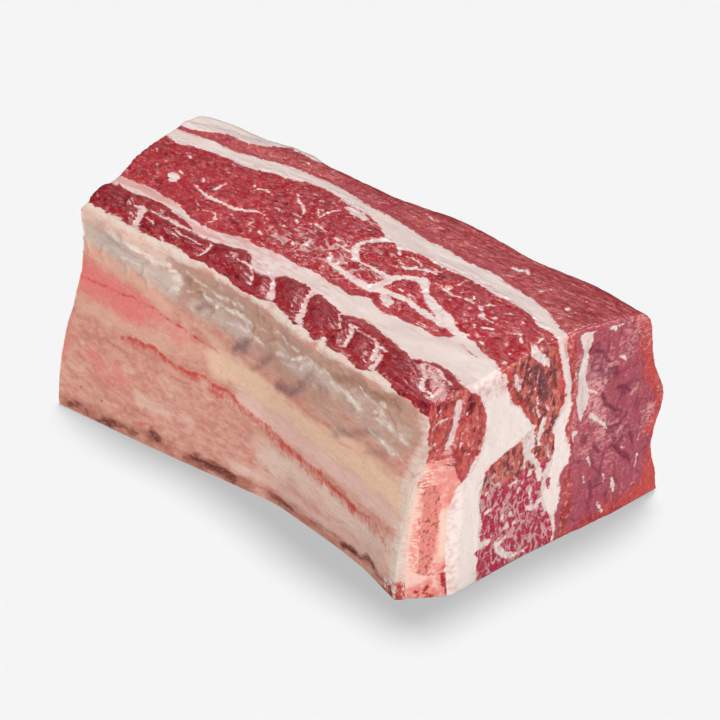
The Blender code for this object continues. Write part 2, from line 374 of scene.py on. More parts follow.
class Grain:
    """Smooth random values over space, the same on each run."""

    PRIMES = (374761393, 668265263, 2246822519)

    def __init__(self, seed: int) -> None:
        """Keeps the number that tells one grain from another."""
        self.seed = seed

    def at_corner(self, corner: Array, salt: int = 0) -> Array:
        """A random value from 0 to 1 for each whole-numbered corner, (n, 3).

        Args:
            corner: The corners.
            salt: Tells one set of values from another.

        Returns:
            The value at each corner.
        """
        with np.errstate(over="ignore"):
            mixed = np.uint64(self.seed * 7919 + salt * 104729 + 1)
            for axis, prime in enumerate(self.PRIMES):
                mixed = (mixed ^ corner[:, axis].astype(np.uint64)) * np.uint64(prime)
                mixed = mixed ^ (mixed >> np.uint64(29))
        return (mixed & np.uint64(0xFFFFFF)).astype(float) / 0xFFFFFF

    def smooth(self, points: Array, size: float | tuple) -> Array:
        """Smooth random values from -1 to 1.

        Args:
            points: The points, (n, 3).
            size: How far apart the values change, as one number or one for each axis.

        Returns:
            The value at each point.
        """
        scaled = points / np.array(size, float)
        base = np.floor(scaled)
        t = scaled - base
        t = t * t * (3 - 2 * t)
        base = base.astype(np.int64)
        total = np.zeros(len(points))
        for corner in np.ndindex(2, 2, 2):
            weight = np.prod(np.where(corner, t, 1 - t), axis=1)
            total += weight * self.at_corner(base + corner)
        return 2 * total - 1

    def rough(self, points: Array, size: float | tuple, octaves: int = 3) -> Array:
        """Smooth random values with finer ones on top, each half as large and half as strong.

        Args:
            points: The points, (n, 3).
            size: How far apart the coarsest values change.
            octaves: How many layers of values there are.

        Returns:
            The value at each point.
        """
        total = np.zeros(len(points))
        for octave in range(octaves):
            share = 2.0**-octave
            total += share * self.smooth(points + 37.7 * octave, share * np.array(size, float))
        return total

    def creases(self, points: Array, size: float | tuple) -> Array:
        """Thin winding creases: 1 along them and 0 between them."""
        return np.clip(1 - 4 * np.abs(self.rough(points, size, 2)), 0, 1)

    def bundles(self, points: Array, size: float | tuple) -> Array:
        """How far inside its own bundle each point lies, from 0 at its border to about 1.

        Args:
            points: The points, (n, 3).
            size: How thick the bundles are, as one number or one for each axis.

        Returns:
            The depth at each point, as a share of the size.
        """
        scaled = points / np.array(size, float)
        base = np.floor(scaled).astype(np.int64)
        nearest = np.full(len(points), 9.0)
        second = np.full(len(points), 9.0)
        for step in np.ndindex(3, 3, 3):
            corner = base + np.array(step) - 1
            centre = corner + np.stack([self.at_corner(corner, salt) for salt in (1, 2, 3)], 1)
            gap = np.linalg.norm(scaled - centre, axis=1)
            second = np.minimum(second, np.maximum(nearest, gap))
            nearest = np.minimum(nearest, gap)
        return second - nearest


@dataclass(frozen=True)
class Vein:
    """A thread, streak or patch in a cut face: how wide it is, and its way over the face.

    widths is one width, which tapers to half at both ends, or a width for each point.
    """

    widths: float | tuple[float, ...]
    path: tuple[Place, ...]

    def gap(self, places: Array) -> Array:
        """How far outside the vein each place lies, negative within it.

        Args:
            places: The places on the face, (n, 2).

        Returns:
            The gap at each place.
        """
        path = np.array(self.path, float)
        halves = np.zeros(len(path)) + np.array(self.widths) / 2
        if len(path) == 1:
            return np.linalg.norm(places - path[0], axis=1) - halves[0]
        if isinstance(self.widths, float):
            halves[[0, -1]] *= 0.5
        best = np.full(len(places), np.inf)
        for start, end, low, high in zip(path[:-1], path[1:], halves[:-1], halves[1:]):
            along = end - start
            t = np.clip((places - start) @ along / (along @ along), 0, 1)
            off = np.linalg.norm(places - start - t[:, None] * along, axis=1)
            best = np.minimum(best, off - mix(low, high, t))
        return best


Veins = tuple[Vein, ...]


def gap_to(veins: Veins, places: Array) -> Array:
    """How far each place, (n, 2), lies outside the nearest of the veins.

    Args:
        veins: The veins.
        places: The places on the face.

    Returns:
        The gap at each place, up to FAR_AWAY.
    """
    best = np.full(len(places), FAR_AWAY)
    for vein in veins:
        best = np.minimum(best, vein.gap(places))
    return best


@dataclass(frozen=True)
class Stain:
    """A soft patch of another tone: its reach, how softly it ends and how strong it is."""

    reach: float
    soft: float
    strength: float
    path: tuple[Place, ...]

    def share(self, places: Array) -> Array:
        """How strong the stain is at each place, (n, 2)."""
        gap = Vein((2 * self.reach,) * len(self.path), self.path).gap(places)
        return self.strength * (1 - smoothstep(-self.soft / 2, self.soft / 2, gap))


def share_of(stains: tuple[Stain, ...], places: Array) -> Array:
    """How strong the stains are together at each place, (n, 2).

    Args:
        stains: The stains.
        places: The places on the face.

    Returns:
        The strength at each place, from 0 to 1.
    """
    clear = np.ones(len(places))
    for stain in stains:
        clear *= 1 - stain.share(places)
    return 1 - clear


@dataclass(frozen=True)
class Line:
    """The line between two layers as the cuts show it.

    top gives its y along the upper cut at each x, and end its y on the near end at each z.
    """

    top: Profile
    end: Profile | None = None


def beyond(line: Profile, along: Array, across: Array) -> Array:
    """How far each place lies beyond a line, measured straight out from it."""
    slope = line(along + 0.5) - line(along - 0.5)
    return (across - line(along)) / np.sqrt(1 + slope * slope)


LINING_LINE = Line(
    top=Profile(
        (-73, -33.9), (-70, -33.2), (-68, -33), (-66, -32.5), (-63.5, -32.8), (-60, -31.7),
        (-57.5, -32.3), (-52, -32.4), (-44, -31.7), (-42, -31.4), (-40, -30.6), (-34, -30.7),
        (-30.5, -31.3), (-28.5, -30.6), (-24, -30.5), (-16, -30.6), (-12, -31.6), (-5, -31.1),
        (-2, -30.4), (0, -29.2), (1.2, -29.4), (3, -30), (8, -31.3), (11.8, -32.4), (12.9, -31.3),
        (15, -31.8), (18, -33), (20.4, -33), (21.6, -32), (24, -32.8), (27.5, -32.9), (30, -32.4),
        (34, -33.5), (38, -33.7), (39.5, -32.2), (44, -32.2), (48, -33), (51.5, -34.3),
        (55.5, -34), (58, -34.9), (61, -35.8),
    ),
    end=Profile(
        (0, -39), (20, -39), (30, -38.2), (36, -37.6), (39.5, -37), (41, -36.3), (44, -35),
        (47, -33.7), (49.5, -33.5), (51, -34.1), (53.5, -34), (55.5, -33.3), (58, -34),
        (60, -35), (64, -36),
    ),
)
RIB_LINE = Line(
    top=Profile(
        (-77, -22.4), (-74, -21), (-70, -20.6), (-67, -20.6), (-65, -19.9), (-62, -19.2),
        (-58, -19), (-50, -19.7), (-44, -20.5), (-40, -21.6), (-36, -21.2), (-30, -19.8),
        (-27, -19), (-24.5, -18.2), (-22, -18.3), (-20, -19.6), (-17, -21.7), (-14.5, -22.4),
        (-11.5, -21.6), (-9.3, -20.2), (-8, -18.8), (-4, -18.2), (2, -18.3), (3.3, -20),
        (4.4, -18.4), (8, -18.6), (12, -19), (15.3, -20.2), (17, -19.5), (20, -18.2), (25, -17.6),
        (28, -18.2), (34, -19.5), (38, -20), (43, -20.1), (46, -18.8), (53, -17.9), (58, -19.4),
        (62, -20),
    ),
    end=Profile(
        (0, -25.4), (3, -26.6), (6, -27.6), (10, -27.7), (12, -26.8), (20, -26.2), (26, -25.6),
        (31, -24.7), (32.6, -24.2), (33.6, -22), (35, -20), (37.5, -18), (41, -15.9),
        (44, -15), (48, -14.1), (51, -14.5), (53, -15), (57, -17), (60, -20), (63, -22.3),
        (66, -24.6),
    ),
)
INNER_LINE = Line(
    top=Profile(
        (-78, -18.6), (-74, -17.3), (-70, -16.6), (-66, -16), (-60, -16.3), (-57, -15.8),
        (-54, -16), (-48, -17.8), (-42, -18.4), (-39, -18), (-33, -16.3), (-31, -15), (-29, -14.3),
        (-25, -14.3), (-20, -13.4), (-17, -12.8), (-12, -13.2), (-8, -12.9), (-5, -12.1),
        (0, -12.4), (8, -12.4), (10.5, -12.8), (12, -11.6), (15, -10.1), (17.5, -11.4),
        (20, -11.9), (26, -11.2), (31, -10.3), (37, -9.8), (40, -9.1), (41.3, -7.8), (42.4, -5),
        (44.5, -4.6), (47, -4.4), (48.5, -5.2), (52, -6.6), (56, -7), (60, -8.6), (62, -9.6),
    ),
    end=Profile(
        (0.3, -16.5), (5, -16.6), (7.5, -16.2), (10.2, -16.6), (11, -14.6), (12.5, -15.4),
        (14, -15.7), (16, -15.2), (20, -15.5), (25, -16.1), (27.5, -15.3), (29, -14.7),
        (31.5, -14.6), (33, -13.7), (34.5, -12), (35.4, -9), (36.6, -4), (38, 2.3), (40.5, 1.3),
        (42, 0.3), (45, -1.5), (48, -3.2), (49, -5), (51.5, -6), (55.5, -7.5), (57.5, -7.4),
        (59.5, -8), (61, -9.5), (64, -12), (66, -13.5),
    ),
)
SEAM_LINE = Line(
    top=Profile(
        (-86, 5.4), (-80, 5.6), (-77, 7.2), (-72, 8.3), (-67, 9.3), (-63, 10), (-60, 9.9),
        (-57, 10.7), (-54, 12), (-49, 14), (-46, 14.3), (-43, 15.7), (-41, 17), (-38, 18),
        (-34, 18.2), (-30, 18.5), (-25, 17.6), (-18, 17.9), (-12, 16.8), (-8, 15), (-5.6, 13.6),
        (-4.2, 11), (-3, 12), (-1.5, 13.2), (1.5, 11.6), (3.5, 12.6), (7, 14), (10, 14.3),
        (20, 14.5), (25, 15.3), (30, 15.2), (35, 14.8), (45, 15.1), (48, 14.6), (51, 13.2),
        (54, 12.6), (58, 12.6), (60, 12), (62, 10.4),
    ),
    end=Profile(
        (0, 10), (3, 10.3), (6, 10), (9, 9), (11, 7.4), (13, 6.3), (16, 6), (22, 6.2),
        (25, 7.6), (27, 9.8), (30, 10.2), (33, 9.6), (36.5, 9.8), (39, 11.5), (41, 12.8),
        (43, 13.4), (47, 12.8), (50, 12.2), (54, 11.7), (57, 11), (61, 10.3), (63.5, 9.5),
        (66, 8.3),
    ),
)
OUTER_LINE = Line(
    top=Profile(
        (-85, 10.5), (-80, 11.7), (-77, 12.5), (-73, 13.2), (-69, 13.2), (-65, 14), (-60, 15.8),
        (-50, 19.3), (-46, 19.8), (-40, 20.9), (-35, 21.4), (-20, 21.2), (-5, 20.8), (5, 20.4),
        (9, 20.9), (15, 20.7), (19, 20.3), (26, 21.2), (36, 20.9), (44, 20), (50, 18.6),
        (54, 17), (57, 15.4), (60, 14.8), (62, 13.8),
    ),
    end=Profile(
        (0.3, 10.7), (3, 11.3), (5, 11), (7.5, 11), (9, 11.5), (10.5, 12.3), (14, 12.8),
        (20, 12.9), (21, 13.6), (21.8, 15), (24, 15.8), (26, 15.9), (29.3, 14.8), (31, 13.8),
        (33, 13.6), (36, 14.7), (38, 15.3), (40, 15.8), (42.5, 15.2), (47, 14.6), (50, 14.3),
        (53, 14), (56, 13.6), (60, 13.3), (63, 13), (66, 10.6),
    ),
)
CAP_LINE = Line(
    top=Profile(
        (-84.5, 11), (-84, 12.5), (-82, 14), (-79, 16), (-76, 17.8), (-73, 18.8), (-70, 19),
        (-67, 19.5), (-64, 21), (-60, 24.5), (-58, 25.8), (-55, 26.2), (-50, 26.7), (-45, 27.5),
        (-42, 32), (-39, 60),
    ),
)
BONE_LINE = Profile(
    (-42, 44.4), (-36, 44.8), (-31, 44.6), (-28, 43.6), (-26.6, 42.6), (-26, 41), (-25, 39),
    (-24, 36.7), (-22.7, 34), (-21.5, 31),
)


class Side(Enum):
    """The sides of a layer: the axis of its shares that runs out there, and at which end."""

    FAR = (0, 0)
    NEAR = (0, 1)
    FRONT = (1, 0)
    BACK = (1, 1)
    BASE = (2, 0)
    TOP = (2, 1)


HIDDEN_STEP = 12  # how many fine slices one coarse slice of a hidden side takes in
BASE_STEP = 4  # the same on the underside, whose edges show


class SlicedBox:
    """A unit box sliced finely on the sides that show, and coarsely on the others."""

    def __init__(self, counts: tuple[int, int, int], coarse: dict[Side, int]) -> None:
        """Slices the box.

        Args:
            counts: How many fine slices there are along each axis.
            coarse: How many fine slices a coarse one takes in, for each side that has them.
        """
        self.counts = np.array(counts) + 1
        numbers = np.arange(self.counts.prod()).reshape(self.counts)
        quads = []
        wide: list[list[int]] = []
        fine = {}
        for side in Side:
            grid = self.grid(numbers, side)
            if side in coarse:
                wide += self.wide_faces(grid, coarse[side])
            else:
                quads.append(self.quads(grid))
                fine[side] = np.unique(grid)
        quads = np.concatenate(quads)
        kept = np.unique(np.concatenate([quads.ravel(), np.concatenate([np.array(f) for f in wide])]))
        self.quads_kept = np.searchsorted(kept, quads)
        self.wide = [np.searchsorted(kept, face).tolist() for face in wide]
        self.shares = np.stack(np.unravel_index(kept, self.counts), 1) / (self.counts - 1)
        self.on = {side: np.isin(kept, ids) for side, ids in fine.items()}

    @staticmethod
    def grid(numbers: Array, side: Side) -> Array:
        """The points of one side, turned so that its faces look outward.

        Args:
            numbers: The number of each point of the box.
            side: The side.

        Returns:
            The numbers of the side's points, in rows.
        """
        axis, end = side.value
        grid = np.take(numbers, -end, axis=axis)
        flips = (axis == 1) + (end == 0)
        return grid.T if flips == 1 else grid

    @staticmethod
    def quads(grid: Array) -> Array:
        """The fine faces of one side."""
        corners = [grid[:-1, :-1], grid[1:, :-1], grid[1:, 1:], grid[:-1, 1:]]
        return np.stack(corners, -1).reshape(-1, 4)

    @staticmethod
    def wide_faces(grid: Array, step: int) -> list[list[int]]:
        """The coarse faces of one side, whose outermost edges take in every fine point.

        Args:
            grid: The numbers of the side's points, in rows.
            step: How many fine slices one coarse face takes in.

        Returns:
            The numbers round each face.
        """
        rows = [*range(0, grid.shape[0] - 1, step), grid.shape[0] - 1]
        columns = [*range(0, grid.shape[1] - 1, step), grid.shape[1] - 1]
        last_row, last_column = rows[-1], columns[-1]
        faces = []
        for low, high in zip(rows[:-1], rows[1:]):
            for left, right in zip(columns[:-1], columns[1:]):
                rise = range(low, high) if left == 0 else [low]
                across = range(left, right) if high == last_row else [left]
                drop = range(high, low, -1) if right == last_column else [high]
                home = range(right, left, -1) if low == 0 else [right]
                face = [grid[r, left] for r in rise] + [grid[high, c] for c in across]
                face += [grid[r, right] for r in drop] + [grid[low, c] for c in home]
                faces.append([int(number) for number in face])
        return faces


class Shader:
    """The node tree of one finish, joined up step by step."""

    def __init__(self, name: str) -> None:
        """Starts a material with one surface shader.

        Args:
            name: The material's name.
        """
        self.material = bpy.data.materials.new(name)
        self.material.use_nodes = True
        self.tree = self.material.node_tree
        self.surface = self.tree.nodes["Principled BSDF"]
        self.object_place = self.tree.nodes.new("ShaderNodeTexCoord").outputs["Object"]

    def set(self, name: str, value: float | tuple) -> None:
        """Sets a socket of the surface shader to a value that is the same all over."""
        self.surface.inputs[name].default_value = value

    def join(self, name: str, source: Socket) -> None:
        """Joins a socket of the surface shader to what drives it."""
        self.tree.links.new(source, self.surface.inputs[name])

    def feed(self, socket: Socket, value: Socket | float | tuple) -> None:
        """Joins a socket to another one, or sets it to a value.

        Args:
            socket: The socket that takes it.
            value: What it is joined to, or set to.
        """
        if isinstance(value, bpy.types.NodeSocket):
            self.tree.links.new(value, socket)
        else:
            socket.default_value = value

    def mark(self, name: str) -> Socket:
        """A mark that was laid on the mesh.

        Args:
            name: The mark's name.

        Returns:
            The socket with its value.
        """
        node = self.tree.nodes.new("ShaderNodeAttribute")
        node.attribute_name = name
        return node.outputs["Fac"]

    def place(self, stretch: Triple) -> Socket:
        """The place in millimetres, squeezed along each axis by these shares."""
        return self.vector_maths("MULTIPLY", self.object_place, [share / MM for share in stretch])

    def swirled(self, stretch: Triple, reach: float, size: float) -> Socket:
        """The squeezed place, moved about at random.

        Args:
            stretch: How much the place is squeezed along each axis.
            reach: How far it is moved.
            size: How far apart the moves change.

        Returns:
            The socket with the place.
        """
        node = self.tree.nodes.new("ShaderNodeTexNoise")
        self.tree.links.new(self.place(stretch), node.inputs["Vector"])
        node.inputs["Scale"].default_value = 1 / size
        node.inputs["Detail"].default_value = 2
        moves = self.vector_maths("MULTIPLY", node.outputs["Color"], [2 * reach] * 3)
        return self.vector_maths("ADD", self.place(stretch), moves)

    def vector_maths(self, operation: str, first: Socket, second: Socket | list) -> Socket:
        """The outcome of one sum with vectors, by Blender's name for it.

        Args:
            operation: The sum.
            first: The first vector.
            second: The second vector.

        Returns:
            The socket with the outcome.
        """
        node = self.tree.nodes.new("ShaderNodeVectorMath")
        node.operation = operation
        self.feed(node.inputs[0], first)
        self.feed(node.inputs[1], second)
        return node.outputs["Vector"]

    def noise(self, size: float, detail: float = 2, stretch: tuple = (1, 1, 1),
              warp: float = 0, roughness: float = 0.55) -> Socket:
        """Cloudy random values round 0.5.

        Args:
            size: How large the clouds are.
            detail: How many finer clouds lie on them.
            stretch: How much the place is squeezed along each axis.
            warp: How much the clouds are swirled.
            roughness: How strong the finer clouds are.

        Returns:
            The socket with the values.
        """
        node = self.tree.nodes.new("ShaderNodeTexNoise")
        self.tree.links.new(self.place(stretch), node.inputs["Vector"])
        node.inputs["Scale"].default_value = 1 / size
        node.inputs["Detail"].default_value = detail
        node.inputs["Roughness"].default_value = roughness
        node.inputs["Distortion"].default_value = warp
        return node.outputs["Fac"]

    def cells(self, size: float, feature: str = "DISTANCE_TO_EDGE", stretch: tuple = (1, 1, 1),
              swirl: float = 0.4) -> Socket:
        """Distances within random cells.

        Args:
            size: How large the cells are.
            feature: What is measured, by Blender's name for it.
            stretch: How much the place is squeezed along each axis.
            swirl: How far the cells are swirled, as a share of their size.

        Returns:
            The socket with the distance, as a share of the size.
        """
        node = self.tree.nodes.new("ShaderNodeTexVoronoi")
        node.feature = feature
        self.feed(node.inputs["Vector"], self.swirled(stretch, swirl * size, 0.9 * size))
        node.inputs["Scale"].default_value = 1 / size
        return node.outputs["Distance"]

    def maths(self, operation: str, first: Socket | float, second: Socket | float = 0.0) -> Socket:
        """The outcome of one sum, by Blender's name for it.

        Args:
            operation: The sum.
            first: The first value.
            second: The second value.

        Returns:
            The socket with the outcome.
        """
        node = self.tree.nodes.new("ShaderNodeMath")
        node.operation = operation
        self.feed(node.inputs[0], first)
        self.feed(node.inputs[1], second)
        return node.outputs["Value"]

    def plus(self, first: Socket | float, second: Socket | float) -> Socket:
        """The sum of two values."""
        return self.maths("ADD", first, second)

    def times(self, first: Socket | float, second: Socket | float) -> Socket:
        """The product of two values."""
        return self.maths("MULTIPLY", first, second)

    def most(self, first: Socket | float, second: Socket | float) -> Socket:
        """The greater of two values."""
        return self.maths("MAXIMUM", first, second)

    def wobble(self, value: Socket, noise: Socket, reach: float) -> Socket:
        """A value moved up and down by a noise, for the most part by less than half of reach."""
        return self.plus(value, self.times(self.plus(noise, -0.5), 2 * reach))

    def marked(self, name: str, noise: Socket, reach: float, low: float = 0.1,
               high: float = 0.9) -> Socket:
        """How plainly a mark shows, from 0 to 1, with its border broken up by a noise."""
        return self.between(self.wobble(self.mark(name), noise, reach), low, high)

    def between(self, value: Socket, low: float, high: float) -> Socket:
        """0 at low and 1 at high, with a smooth change between them.

        Args:
            value: The value.
            low: Where it starts.
            high: Where it ends.

        Returns:
            The socket with the share.
        """
        node = self.tree.nodes.new("ShaderNodeMapRange")
        node.interpolation_type = "SMOOTHSTEP"
        self.feed(node.inputs["Value"], value)
        node.inputs["From Min"].default_value = low
        node.inputs["From Max"].default_value = high
        return node.outputs["Result"]

    def spread(self, value: Socket, low: float, high: float) -> Socket:
        """A value from 0 to 1 spread out evenly from low to high.

        Args:
            value: The value.
            low: What 0 becomes.
            high: What 1 becomes.

        Returns:
            The socket with the outcome.
        """
        node = self.tree.nodes.new("ShaderNodeMapRange")
        self.feed(node.inputs["Value"], value)
        node.inputs["To Min"].default_value = low
        node.inputs["To Max"].default_value = high
        return node.outputs["Result"]

    def blend(self, share: Socket | float, under: Socket | Colour, over: Socket | Colour) -> Socket:
        """One colour laid over another.

        Args:
            share: How much of the upper colour shows.
            under: The lower colour.
            over: The upper colour.

        Returns:
            The socket with the colour.
        """
        node = self.tree.nodes.new("ShaderNodeMix")
        node.data_type = "RGBA"
        factor, low, high = (s for s in node.inputs if s.enabled)
        self.feed(factor, share)
        for socket, value in ((low, under), (high, over)):
            self.feed(socket, value if isinstance(value, bpy.types.NodeSocket) else paint(value))
        return next(s for s in node.outputs if s.enabled)

    def bump(self, height: Socket, depth: float, strength: float = 1.0) -> None:
        """Gives the surface fine relief.

        Args:
            height: The relief, from 0 to 1.
            depth: How deep a change of 1 is, in millimetres.
            strength: How much of it shows.
        """
        node = self.tree.nodes.new("ShaderNodeBump")
        node.inputs["Distance"].default_value = depth * MM
        node.inputs["Strength"].default_value = strength
        self.tree.links.new(height, node.inputs["Height"])
        self.join("Normal", node.outputs["Normal"])


def paint(colour: Colour) -> tuple[float, float, float, float]:
    """A colour as a shader takes it, from one as a screen shows it, with 0 to 255 a channel.

    Args:
        colour: The red, green and blue of the screen.

    Returns:
        The linear channels, and full cover.
    """
    shares = [channel / 255 for channel in colour]
    linear = [s / 12.92 if s <= 0.04045 else ((s + 0.055) / 1.055) ** 2.4 for s in shares]
    return (*linear, 1.0)


@dataclass(frozen=True)
class Wetness:
    """How moist a surface is: its gloss, the film over it, and how deep light goes in."""

    smoothest: float = 0.24
    roughest: float = 0.48
    specular: float = 0.45
    film: float = 0.25
    film_roughness: float = 0.16
    scatter: float = 0.15
    scatter_depth: float = 0.6
    scatter_tint: Triple = (1.0, 0.35, 0.28)

    def apply(self, shader: Shader) -> None:
        """Sets the surface shader's sockets.

        Args:
            shader: The finish's shader.
        """
        patches = shader.between(shader.noise(2.2, 3), 0.35, 0.65)
        shader.join("Roughness", shader.spread(patches, self.smoothest, self.roughest))
        shader.set("Specular IOR Level", self.specular)
        shader.set("Coat Weight", self.film)
        shader.set("Coat Roughness", self.film_roughness)
        shader.set("Subsurface Weight", self.scatter)
        shader.set("Subsurface Radius", self.scatter_tint)
        shader.set("Subsurface Scale", self.scatter_depth * MM)


@dataclass(frozen=True)
class FleshLook:
    """Raw muscle without its fat: red fibre in grains, with bright rims, darker hearts, and pale specks
    painted as wet highlights.
    """

    deep: Colour = (124, 26, 40)
    red: Colour = (170, 46, 58)
    bright: Colour = (204, 92, 96)
    rim: Colour = (206, 54, 56)
    warm: Colour = (202, 102, 90)
    sear: Colour = (128, 52, 58)
    heart: Colour = (104, 42, 50)
    # the pale pink of highlights painted on the wet flesh, and of pale threads
    pale: Colour = (226, 172, 168)
    tint: Colour = (176, 40, 82)
    tint_share: float = 0.7
    grain: float = 2.3
    rim_share: float = 0.6
    # how strongly the pale specks painted as wet highlights show
    glint_share: float = 0.35

    def colour(self, shader: Shader) -> Socket:
        """The colour of the flesh.

        Args:
            shader: The finish's shader.

        Returns:
            The socket with the colour.
        """
        streaks = shader.noise(1.5, 4, (0.5, 1, 0.8), warp=0.5)
        grains = shader.cells(self.grain, stretch=(0.55, 1, 1))
        middle = shader.between(shader.wobble(grains, streaks, 0.4), 0.02, 0.3)
        broad = shader.between(shader.noise(5, 4, (0.6, 1, 1)), 0.62, 0.36)
        colour = shader.blend(shader.times(middle, broad), self.red, self.deep)
        lit = shader.times(shader.between(streaks, 0.48, 0.66), 0.5)
        colour = shader.blend(lit, colour, self.bright)
        upright = shader.noise(1.7, 4, (1, 1, 0.4), warp=0.5)
        warm = shader.marked("warm", upright, 0.7)
        seared = shader.blend(shader.between(upright, 0.42, 0.56), self.sear, self.warm)
        # Pale streaks painted as highlights on the browned flesh.
        seared = shader.blend(shader.between(streaks, 0.54, 0.7), seared, self.pale)
        colour = shader.blend(warm, colour, seared)
        heart = shader.marked("heart", upright, 1.0, 0.35, 0.85)
        colour = shader.blend(heart, colour, self.heart)
        tinted = shader.marked("tinted", upright, 0.7)
        colour = shader.blend(shader.times(tinted, self.tint_share), colour, self.tint)
        near = shader.marked("fat_gap", streaks, 1.1, 0.9, 0.1)
        edge = shader.marked("rim", streaks, 0.8)
        edge = shader.most(shader.times(near, self.rim_share), edge)
        colour = shader.blend(shader.times(edge, 0.75), colour, self.rim)
        # Pale where the frayed mark lies: threads of fat on the rib muscle, and on the outer muscle's
        # cut end pale specks painted as wet highlights.
        frayed = shader.noise(0.6, 4, (1, 0.4, 0.8), warp=0.3)
        frayed = shader.between(shader.wobble(frayed, shader.mark("frayed"), 0.2), 0.5, 0.62)
        colour = shader.blend(shader.times(frayed, shader.mark("frayed")), colour, self.pale)
        # Fine pale specks: painted highlights of the wet surface.
        painted_glints = shader.between(shader.noise(0.7, 4, (0.7, 1, 1)), 0.54, 0.7)
        return shader.blend(shader.times(painted_glints, self.glint_share), colour, self.pale)

    def height(self, shader: Shader) -> Socket:
        """The fine relief: fibres and beads of juice.

        Args:
            shader: The finish's shader.

        Returns:
            The socket with the relief.
        """
        fibres = shader.noise(0.9, 3, (0.5, 1, 1))
        beads = shader.cells(1.2, "F1", (0.6, 1, 1))
        return shader.plus(shader.times(fibres, 0.7), shader.times(beads, -0.3))


@dataclass(frozen=True)
class MuscleLook(FleshLook):
    """Raw muscle with its threads of fat and the marbling between them."""

    fat: Colour = (230, 211, 206)
    fat_shade: Colour = (219, 178, 174)
    fleck_size: float = 1.5
    fleck_stretch: Triple = (0.45, 1, 0.7)
    fleck_level: float = 0.66
    net_size: float = 2.8
    net_stretch: Triple = (0.5, 1, 0.55)

    def colour(self, shader: Shader) -> Socket:
        """The colour of the flesh and its fat.

        Args:
            shader: The finish's shader.

        Returns:
            The socket with the colour.
        """
        flesh = super().colour(shader)
        # Creases are painted darker in the heart colour: painted shade in them.
        crease = shader.between(shader.mark("crease"), 0.1, 0.9)
        flesh = shader.blend(shader.times(crease, 0.75), flesh, self.heart)
        tone = shader.blend(shader.between(shader.noise(2.2, 3), 0.5, 0.7), self.fat, self.fat_shade)
        fray = shader.noise(1.3, 5, (0.7, 1, 1), roughness=0.7)
        threads = shader.marked("fat_gap", fray, 1.5, 0.22, -0.1)
        flecks = shader.noise(self.fleck_size, 3, self.fleck_stretch, warp=0.4)
        flecks = shader.wobble(flecks, shader.mark("marbled"), 0.05)
        flecks = shader.between(flecks, self.fleck_level, self.fleck_level + 0.06)
        net = shader.noise(self.net_size, 2, self.net_stretch, warp=0.6)
        net = shader.maths("ABSOLUTE", shader.plus(net, -0.5))
        width = shader.times(shader.mark("netted"), shader.between(shader.noise(4, 3), 0.36, 0.6))
        net = shader.between(shader.plus(net, shader.times(width, -0.05)), 0.03, -0.02)
        net = shader.times(net, shader.between(shader.mark("netted"), 0.02, 0.3))
        fine = shader.times(shader.most(flecks, net), 0.62)
        flesh = shader.blend(fine, flesh, shader.blend(0.5, tone, self.fat_shade))
        return shader.blend(threads, flesh, tone)

    def height(self, shader: Shader) -> Socket:
        """The fine relief, which is smoother on the fat."""
        lean = shader.spread(shader.between(shader.mark("fat_gap"), -0.2, 0.3), 0.4, 1.0)
        return shader.times(super().height(shader), lean)


@dataclass(frozen=True)
class FatLook:
    """Firm raw fat: soft whites with faint strands and pink streaks, painted lighter on the saw-cut
    ends, where more light falls than on the top.
    """

    white: Colour = (230, 213, 206)
    grey: Colour = (219, 200, 193)
    # painted light: the fat on the saw-cut ends, lighter than on the top
    lit_end_white: Colour = (242, 226, 219)
    blush: Colour = (214, 149, 142)

    def colour(self, shader: Shader) -> Socket:
        """The colour of the fat.

        Args:
            shader: The finish's shader.

        Returns:
            The socket with the colour.
        """
        clouds = shader.between(shader.noise(5, 4, (0.3, 1, 1)), 0.35, 0.65)
        colour = shader.blend(clouds, self.grey, self.white)
        # Painted light: lighter on the saw-cut ends.
        colour = shader.blend(shader.mark("cut_end"), colour, self.lit_end_white)
        strands = shader.between(shader.noise(0.8, 3, (0.1, 1, 1), warp=0.3), 0.56, 0.78)
        colour = shader.blend(shader.times(strands, 0.16), colour, self.blush)
        pink = shader.marked("pink", shader.noise(1.3, 4, (0.5, 1, 1)), 0.9, 0.1, 1.0)
        return shader.blend(shader.times(pink, 0.8), colour, self.blush)

    def height(self, shader: Shader) -> Socket:
        """The fine relief."""
        return shader.plus(shader.times(shader.noise(1.2, 3, (0.3, 1, 1)), 0.8), 0.1)


